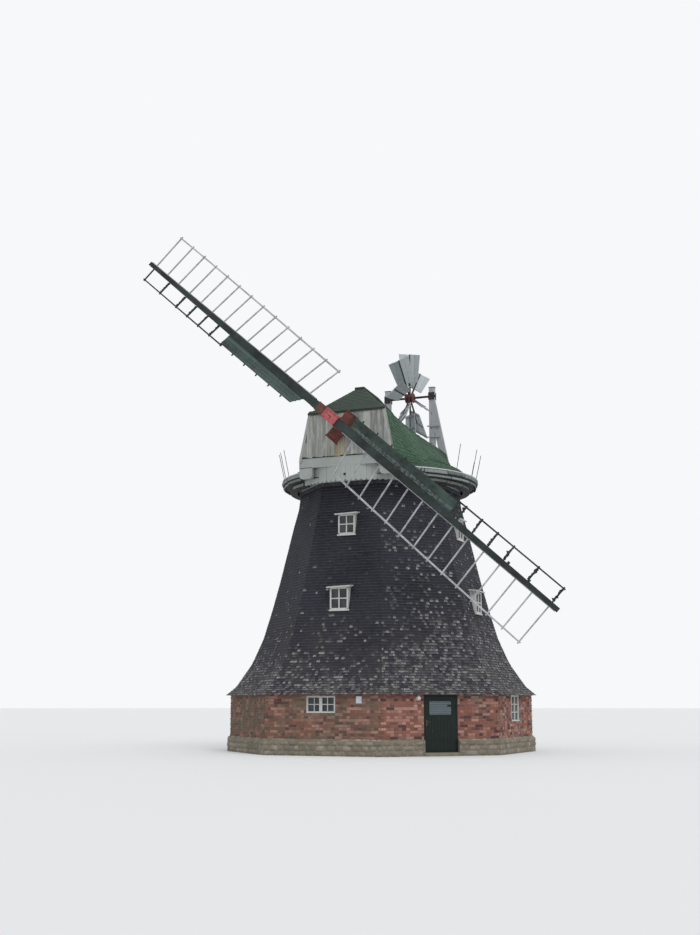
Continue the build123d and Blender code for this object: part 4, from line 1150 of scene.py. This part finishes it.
class MILL_OT_petticoat(bpy.types.Operator):
    """Scalloped white boards under the front. The lower edge is a row of arcs: depth times 1 less |sin|"""
    bl_idname = "mill.petticoat_boards"
    bl_label = "Petticoat"

    def execute(self, context):
        lobes, half = 20, math.radians(33.0)
        width = 2 * half / lobes
        batches = []
        for i in range(lobes):
            a = np.linspace(0.010, 0.990, 13)[:, None] * width + i * width - half
            wave = np.abs(np.sin(np.pi * (a + half) / width))
            low = -0.166 + 0.080 * (1 - wave ** 0.55)
            z = np.linspace(0, 1, 5) * (0.395 - low) + low
            front, back = [np.stack(np.broadcast_arrays(r * np.sin(a), -r * np.cos(a), z), -1)
                           for r in (APRON_R + 0.003 + 0.007 * (i % 2), APRON_R - 0.036)]
            batches.append(grid(np.concatenate([front, back[:, ::-1]], 1), wrap_v=True, ends=True, flip=True))
        piece = put("scalloped_petticoat", batches, "cap", "beam", on_cap)
        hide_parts("petticoat")
        # Painted shadow: a small dark disc on the petticoat stands for the shaded inside of a hole.
        hole_shadow = lathe([(0.001, 0.004), (0.045, 0.004), (0.052, 0.0), (0.001, -0.006)], 18)
        a = -0.03 / APRON_R
        spot = np.array([APRON_R * math.sin(a), -(APRON_R + 0.012) * math.cos(a), 0.075])
        hole_shadow = moved(hole_shadow, lambda p: p @ turn("x", 90).T @ turn("z", math.degrees(a)).T + spot)
        put("petticoat_hole_shadow", [hole_shadow], "cap", "glass", on_cap)
        return {"FINISHED"}


# The sails

def bar_places(name):
    """Places along the stock of a sail's trailing and leading bars."""
    trailing = BAR_R0 + BAR_PITCH * np.arange(BAR_N)
    leading = BAR_R0 + BAR_PITCH * np.array([6, 7, 8, 9, 10, 11.5, 13] + ([5] if name == "lower" else []))
    return trailing, leading


def stock_half(r):
    return 0.155 - 0.075 * np.abs(r) / STOCK_L


class MILL_OT_sail_frames(bpy.types.Operator):
    """Bars and outer rails of both sides of each sail, each turned by the sail's twist at its own place"""
    bl_idname = "mill.sail_frames"
    bl_label = "Sail frames"

    def execute(self, context):
        last = BAR_R0 + BAR_PITCH * (BAR_N - 1) + 0.06
        for name in SAIL_TURNS:
            trailing, leading = bar_places(name)
            board_end = BAR_R0 + BAR_PITCH * WINDBOARDS[name][1]
            sides = ((-1, trailing, TRAIL_W, BAR_R0 - 0.06, "lattice_" + name, "sail_light", "lattice"),
                     (1, leading, LEAD_W, board_end - 0.06, "leading_" + name, "sail_dark", "stock"))
            for lead, places, width, start, node, slot, finish in sides:
                bars = front_boxes(places - BAR_HALF, places + BAR_HALF, -0.025, 0.025, 0.02, width + 0.04,
                                   0.003)
                r = np.linspace(start, last, 30)
                low, high = width - 0.025, width + 0.025
                rail = tube([(r, -0.03, low), (r, 0.03, low), (r, 0.03, high), (r, -0.03, high)])
                piece = put("sail_bars_" + node, [bars, rail], "sails", finish, on_sail(name, lead))
                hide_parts(node)
        return {"FINISHED"}


class MILL_OT_sail_details(bpy.types.Operator):
    """Bar ends past the rails, the pale strip along each stock, cleats and ragged board remains"""
    bl_idname = "mill.sail_details"
    bl_label = "Sail details"

    def execute(self, context):
        rng = np.random.default_rng(71)
        pale, dark = [], []
        for name in SAIL_TURNS:
            trailing, leading = bar_places(name)
            z = TRAIL_W + 0.024
            ends = front_boxes(trailing - 0.019, trailing + 0.019, -0.024, 0.024, z,
                               z + context.scene.mill_sail.stub, 0.003)
            knots = studs(trailing, 0.029, 0.042, TRAIL_W, 0.034, 0.022, 0.003)
            pale += [moved(b, on_sail(name, -1)) for b in (ends, knots)]
            r = np.linspace(0.85, STOCK_L - 0.05, 24)
            h = stock_half(r)
            strip = tube([(r, -h + 0.03, -h - 0.028), (r, -h + 0.09, -h - 0.028), (r, -h + 0.09, -h + 0.002),
                          (r, -h + 0.03, -h + 0.002)])
            pale.append(moved(strip, on_rotor(SAIL_TURNS[name])))
            parts = [front_boxes(leading - 0.02, leading + 0.02, -0.024, 0.024, LEAD_W + 0.02, LEAD_W + 0.055,
                                 0.003)]
            # Ragged remains of boards along the leading bars: a strip whose width wanders.
            for q in leading[:-1] if name == "upper" else leading:
                z = np.linspace(0.12, LEAD_W - 0.03, 12)
                left = q - 0.021 - np.abs(rng.normal(0.014, 0.024, 12))
                right = q + 0.021 + np.abs(rng.normal(0.016, 0.026, 12))
                parts.append(tube([(left, -0.034, z), (right, -0.034, z), (right, -0.024, z),
                                   (left, -0.024, z)]))
            dark += [moved(b, on_sail(name, 1)) for b in parts]
        r = np.array([8.55, 9.45])
        h = stock_half(r)
        cleats = front_boxes(r - 0.035, r + 0.035, -h + 0.02, -h + 0.10, h - 0.01, h + 0.075, 0.006)
        dark.append(moved(cleats, on_rotor(STOCK_TURN)))
        put("lattice_ends", pale, "sails", "lattice")
        put("leading_remains", dark, "sails", "stock")
        return {"FINISHED"}


class MILL_OT_windboards(bpy.types.Operator):
    """Planks and battens of the two windboards, following the sails' twist"""
    bl_idname = "mill.windboards"
    bl_label = "Windboards"

    def execute(self, context):
        plank = context.scene.mill_sail.plank
        rng = np.random.default_rng(83)
        batches = []
        for name, (root, end) in WINDBOARDS.items():
            upper = name == "upper"
            r0, r1 = BAR_R0 + BAR_PITCH * root, BAR_R0 + BAR_PITCH * end
            # The backing sheet under the planks; the upper one is cut slanting at the hub.
            slant = 0.32 if upper else 0.0
            near, far = np.linspace(r0, r1, 24), np.linspace(r0 + slant, r1, 24)
            parts = [tube([(near, -0.053, 0.06), (near, -0.025, 0.06), (far, -0.025, LEAD_W - 0.025),
                           (far, -0.053, LEAD_W - 0.025)])]
            for i in range(4):
                z0 = 0.06 + i * plank + 0.003
                z1 = min(z0 + plank - 0.006, LEAD_W - 0.027)
                joints = np.sort(rng.uniform(r0 + 0.8, r1 - 0.5, 2))
                stops = np.concatenate([[r0], joints, [r1 - rng.uniform(0, 0.02)]])
                cut = r0 - 0.05 + 0.45 * max(z1 - 0.09, 0) / (LEAD_W + 0.11) if upper else r0
                for a, b in zip(stops[:-1], stops[1:]):
                    r = np.linspace(max(a, cut) + 0.002, b - 0.002, 9)
                    y0, y1 = -0.055 - rng.uniform(0.006, 0.013), -0.052
                    section = ((y0, z0 + 0.004), (y0 + 0.004, z0), (y1, z0), (y1, z1), (y0 + 0.004, z1),
                               (y0, z1 - 0.004))
                    tone = rng.uniform(0.55, 1.0) if upper else rng.uniform(0.0, 0.3)
                    scuff = 0.3 if i == 1 and not upper else 0.045
                    parts.append(tube([(r, y, z) for y, z in section], tone=tone, spot=scuff))
            bars = BAR_R0 + BAR_PITCH * np.arange(0, 7)
            bars = bars[(bars < r1) & (bars > r0 + slant)]
            parts.append(front_boxes(bars - 0.02, bars + 0.02, -0.024, 0.022, LEAD_W - 0.03, LEAD_W + 0.045,
                                     0.003))
            rows = np.tile([0.115, 0.246, 0.377, 0.508], len(bars))
            parts.append(studs(np.repeat(bars, 4), -0.078, -0.06, rows, 0.011, 0.011, tone=1.0))
            r = np.linspace(r0 + 0.35, r1 - 0.9, 20)
            for height in () if upper else (0.188, 0.262):
                z = height + 0.006 * np.sin(r * 3.1)
                parts.append(tube([(r, -0.071, z - 0.006), (r, -0.071, z + 0.006), (r, -0.060, z + 0.006),
                                   (r, -0.060, z - 0.006)], flip=True, tone=1.0, spot=0.9))
            batches += [moved(b, on_sail(name, 1)) for b in parts]
        put("windboard_planks", batches, "sails", "sail")
        return {"FINISHED"}


class MILL_OT_hub_irons(bpy.types.Operator):
    """Flanges, bolts, wedges and a dark plate of painted shadow in the key slot of the iron hub, and straps
    on the stock
    """
    bl_idname = "mill.hub_irons"
    bl_label = "Hub irons"

    def execute(self, context):
        place = on_rotor(STOCK_TURN)
        h = 0.18
        red = [studs(x, -h - 0.022, h + 0.022, 0, 0.018, h + 0.022, 0.006) for x in (-0.185, 0.385)]
        red += [studs(0.10, -h - 0.016, -h + 0.004, z, 0.27, 0.020, 0.005) for z in (-h + 0.006, h - 0.006)]
        red.append(studs(0.105, -h - 0.012, -h + 0.002, 0, 0.155, 0.085, 0.008))
        x, z = [a.ravel() for a in np.meshgrid([-0.14, 0.10, 0.34], [-0.145, 0.145])]
        red.append(studs(x, -h - 0.036, -h + 0.002, z, 0.018, 0.018, 0.007))
        put("hub_flanges", red, "sails", "red", place)
        # Painted shadow: a thin dark plate stands for the shaded inside of the key slot.
        slot = front_boxes(0.0, 0.16, -h - 0.016, -h - 0.008, -0.018, 0.018, 0.002)
        put("hub_slot_painted_shadow", [slot], "sails", "glass", place)
        old = [front_boxes(-0.585, -0.206, -h + 0.003, h - 0.003, -h + 0.003, h - 0.003, 0.008)]
        old += [studs(x, -h + 0.002, h - 0.002, 0, 0.03, h - 0.002, 0.006) for x in (-0.56, -0.22)]
        old.append(studs([-0.47, -0.47, -0.32, -0.32], -h - 0.022, -h + 0.012, [-0.10, 0.10, -0.10, 0.10],
                         0.022, 0.022, 0.008))
        old += [studs(-0.615, -0.120, 0.120, z, 0.045, 0.016, 0.006) for z in (-0.162, 0.162)]
        old += [studs(0.45, -0.110, 0.110, z, 0.05, 0.018, 0.006) for z in (0.164, -0.164)]
        # Rims round the two mouths of the empty rear box, and plates on its front.
        b0, b1, rim = 1.05 - h, 1.05 + h, h + 0.022
        for z in (-0.585, 0.585):
            for x0, x1, y0, y1 in ((-rim, rim, b0 - 0.022, b0 + 0.01), (-rim, rim, b1 - 0.01, b1 + 0.022),
                                   (-rim, -h + 0.01, b0, b1), (h - 0.01, rim, b0, b1)):
                old.append(front_boxes(x0, x1, y0, y1, z - 0.022, z + 0.022))
        old += [studs(x, b0 - 0.024, b0 + 0.002, z, 0.02, 0.02, 0.007)
                for z in (-0.40, 0.40) for x in (-0.12, 0.12)]
        put("hub_clamps", old, "sails", "rust", place)
        bands = []
        for x in (-2.4, -0.82, 0.72, 2.6, 5.4, -5.2):
            w = float(stock_half(x)) + 0.006
            bands.append(studs(x, -w, w, 0, 0.03, w, 0.003))
        put("stock_straps", bands, "sails", "stock", place)
        return {"FINISHED"}


# The fantail

class MILL_OT_fantail(bpy.types.Operator):
    """Boards and ledges on the fantail's blades, its hub rings, and blocks and bolts on the posts"""
    bl_idname = "mill.fantail"
    bl_label = "Fantail"

    def execute(self, context):
        rng = np.random.default_rng(97)
        boards, spars = [], []
        pitch = turn("z", FAN_PITCH).T
        r0, r1 = FAN_R * 0.37, FAN_R
        for i in range(FAN_ARMS):
            spin = turn("x", i * 360 / FAN_ARMS + FAN_TURN).T
            # Painted light and shade: the two halves of each blade get a lighter and a darker tone, as if one
            # half were lit and the other shaded.
            lit_and_shaded_halves = (0.25, 0.75) if i % 2 else (0.85, 0.4)
            blade = []
            for j in range(4):
                f0, f1 = -1 + j / 2, -1 + (j + 1) / 2
                top = r1 - rng.uniform(0, 0.03)
                c = quads((FAN_ROOT_W * f0 + 0.003, 0.014, r0), (FAN_ROOT_W * f1 - 0.003, 0.014, r0),
                          (FAN_TIP_W * f1 - 0.003, 0.014, top), (FAN_TIP_W * f0 + 0.003, 0.014, top))
                tone = lit_and_shaded_halves[j // 2] + rng.uniform(-0.12, 0.12)
                blade.append(slabs(c, (0, -1, 0), 0.028, 0.003, True, tone))
            for r in (0.78, 1.28, 1.76):
                w = FAN_ROOT_W + (FAN_TIP_W - FAN_ROOT_W) * (r - r0) / (r1 - r0) - 0.015
                blade.append(studs(0, 0.015, 0.040, r, w, 0.03, tone=0.3, spot=0.5))
            boards += [moved(b, lambda p: p @ pitch @ spin) for b in blade]
            spars.append(moved(front_boxes(-0.022, 0.022, -0.034, -0.013, r0 - 0.02, r1 - 0.01),
                               lambda p: p @ pitch @ spin))
            spars.append(moved(front_boxes(-0.028, 0.028, -0.028, 0.028, 0.13, FAN_R * 0.66, 0.005),
                               lambda p: p @ spin))
        piece = put("fan_blade_boards", boards, "fantail", "fan", on_fan)
        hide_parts("fan_blades")
        across = turn("y", 90).T
        h = AXLE_HALF
        shaft = lathe([(0.001, h), (AXLE_R, h), (AXLE_R, -h), (0.001, -h)], 20)
        spars.append(moved(shaft, lambda p: p @ across))
        piece = put("fan_arms_and_axle", spars, "fantail", "black", on_fan)
        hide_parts("fan_wheel")
        red = []
        for x, r, d in ((-0.14, 0.20, 0.03), (0.14, 0.20, 0.03), (0.0, 0.175, 0.05)):
            ring = lathe([(0.001, d), (r - 0.01, d), (r, d - 0.01), (r, -d + 0.01), (r - 0.01, -d),
                          (0.001, -d)], 20)
            red.append(moved(ring, lambda p: p @ across + np.array([x, 0, 0])))
        put("fan_hub_rings", red, "fantail", "rust", on_fan)
        a = np.linspace(0, 2 * math.pi, 20, endpoint=False)[:, None]
        b = np.linspace(0, 2 * math.pi, 8, endpoint=False)[None, :]
        r = 0.085 + 0.014 * np.cos(b)
        torus = np.broadcast_arrays(r * np.cos(a), 0.014 * np.sin(b) - 0.06, r * np.sin(a) + 0.56)
        torus = grid(np.stack(torus, -1) @ turn("x", FAN_TURN).T, wrap_u=True, wrap_v=True)
        put("fan_ring", [torus], "fantail", "white", on_fan)
        # Bearing blocks, bolts and cap boards on the posts, which stay with the cap.
        blocks, iron = [], []
        for x in (-0.95, 0.95):
            blocks += [studs(x, y, y + 0.037, 0, 0.13, 0.15, 0.008, tone=0.2) for y in (-0.125, 0.088)]
            blocks.append(studs(x, -0.105, 0.105, 0.361, 0.125, 0.011, 0.005, tone=0.8))
            iron += [studs(x, -0.145, -0.12, z, 0.022, 0.022, 0.006) for z in (-0.11, 0.11)]
            z = np.arange(-3.2, 0.2, 0.62)
            iron.append(studs(np.full(len(z), x), -0.106, -0.088, z, 0.016, 0.016, 0.005))
        put("post_blocks", blocks, "cap", "black", on_fan)
        put("post_bolts", iron, "cap", "iron", on_fan)
        return {"FINISHED"}


# The stage

class MILL_OT_stage(bpy.types.Operator):
    """Pale floor, white backdrop, soft light and the camera"""
    bl_idname = "mill.stage"
    bl_label = "Stage"

    def execute(self, context):
        scene = context.scene
        s = scene.mill_stage
        f = Finish("studio_floor")
        tone = f.noise(0.05, 3)
        f.start(f.range(tone, 0.3, 0.7), shade(s.floor, 0.985), s.floor)
        n = 96
        a = np.linspace(0, 2 * math.pi, n, endpoint=False)
        mesh = bpy.data.meshes.new("studio_floor")
        mesh.from_pydata(np.stack([600 * np.cos(a), 600 * np.sin(a), np.full(n, -0.002)], -1).tolist(), [],
                         [tuple(range(n))])
        mesh.materials.append(f.done(0.9, tone, 0.002, 0.1))
        floor = bpy.data.objects.new("studio_floor", mesh)
        scene.collection.objects.link(floor)
        scene.world = bpy.data.worlds.new("studio")
        scene.world.use_nodes = True
        tree = scene.world.node_tree
        light = tree.nodes["Background"]
        feed(tree, light.inputs["Color"], (0.93, 0.96, 1.0))
        feed(tree, light.inputs["Strength"], s.sky)
        seen = add_node(tree, "ShaderNodeBackground", {"Color": s.backdrop})
        path = tree.nodes.new("ShaderNodeLightPath").outputs
        either = add_node(tree, "ShaderNodeMath", {0: path["Is Camera Ray"], 1: path["Is Glossy Ray"]},
                          operation="MAXIMUM")
        either = add_node(tree, "ShaderNodeMath", {0: either.outputs[0], 1: path["Is Transmission Ray"]},
                          operation="MAXIMUM")
        blend = add_node(tree, "ShaderNodeMixShader",
                         {0: either.outputs[0], 1: light.outputs[0], 2: seen.outputs[0]})
        feed(tree, tree.nodes["World Output"].inputs["Surface"], blend.outputs[0])
        lamp = bpy.data.lights.new("soft_sun", "SUN")
        lamp.energy = s.sun
        lamp.angle = math.radians(35)
        sun = bpy.data.objects.new("soft_sun", lamp)
        sun.rotation_euler = (math.radians(38), math.radians(8), math.radians(14))
        scene.collection.objects.link(sun)
        data = bpy.data.cameras.new("camera")
        data.sensor_width = 36
        data.lens = 49.75
        data.clip_end = 2000
        camera = bpy.data.objects.new("camera", data)
        camera.location = (-0.337, -48.229, 1.66)
        camera.rotation_euler = (math.radians(100.403), 0, math.radians(0.949))
        scene.collection.objects.link(camera)
        scene.camera = camera
        scene.view_settings.view_transform = "Standard"
        return {"FINISHED"}


class MILL_PT_panel(bpy.types.Panel):
    """Lists the mill's pieces in the order that they are made"""
    bl_idname = "MILL_PT_panel"
    bl_label = "Smock mill"
    bl_space_type = "VIEW_3D"
    bl_region_type = "UI"
    bl_category = "Mill"

    def draw(self, context):
        for operator in PIECES:
            self.layout.operator(operator.bl_idname)
        for group in GROUPS:
            settings = getattr(context.scene, group)
            box = self.layout.box()
            for name in settings.bl_rna.properties.keys():
                if name not in ("rna_type", "name"):
                    box.prop(settings, name)


GROUPS = {"mill_base": MillBaseSettings, "mill_tower": MillTowerSettings, "mill_cap": MillCapSettings,
          "mill_sail": MillSailSettings, "mill_stage": MillStageSettings}
PIECES = [MILL_OT_finishes, MILL_OT_stage, MILL_OT_plinth_stones, MILL_OT_wall_bricks, MILL_OT_door_fittings,
          MILL_OT_window_trims, MILL_OT_tower_shingles, MILL_OT_roof_shingles, MILL_OT_front_boards,
          MILL_OT_eave_boards, MILL_OT_petticoat, MILL_OT_sail_frames, MILL_OT_sail_details,
          MILL_OT_windboards, MILL_OT_hub_irons, MILL_OT_fantail]


def register():
    for group in GROUPS.values():
        bpy.utils.register_class(group)
    for name, group in GROUPS.items():
        setattr(bpy.types.Scene, name, bpy.props.PointerProperty(type=group))
    for operator in PIECES:
        bpy.utils.register_class(operator)
    bpy.utils.register_class(MILL_PT_panel)


def unregister():
    bpy.utils.unregister_class(MILL_PT_panel)
    for operator in reversed(PIECES):
        bpy.utils.unregister_class(operator)
    for name, group in GROUPS.items():
        delattr(bpy.types.Scene, name)
        bpy.utils.unregister_class(group)


def main():
    register()
    for operator in PIECES:
        group, name = operator.bl_idname.split(".")
        getattr(getattr(bpy.ops, group), name)()


if __name__ == "__main__":
    main()
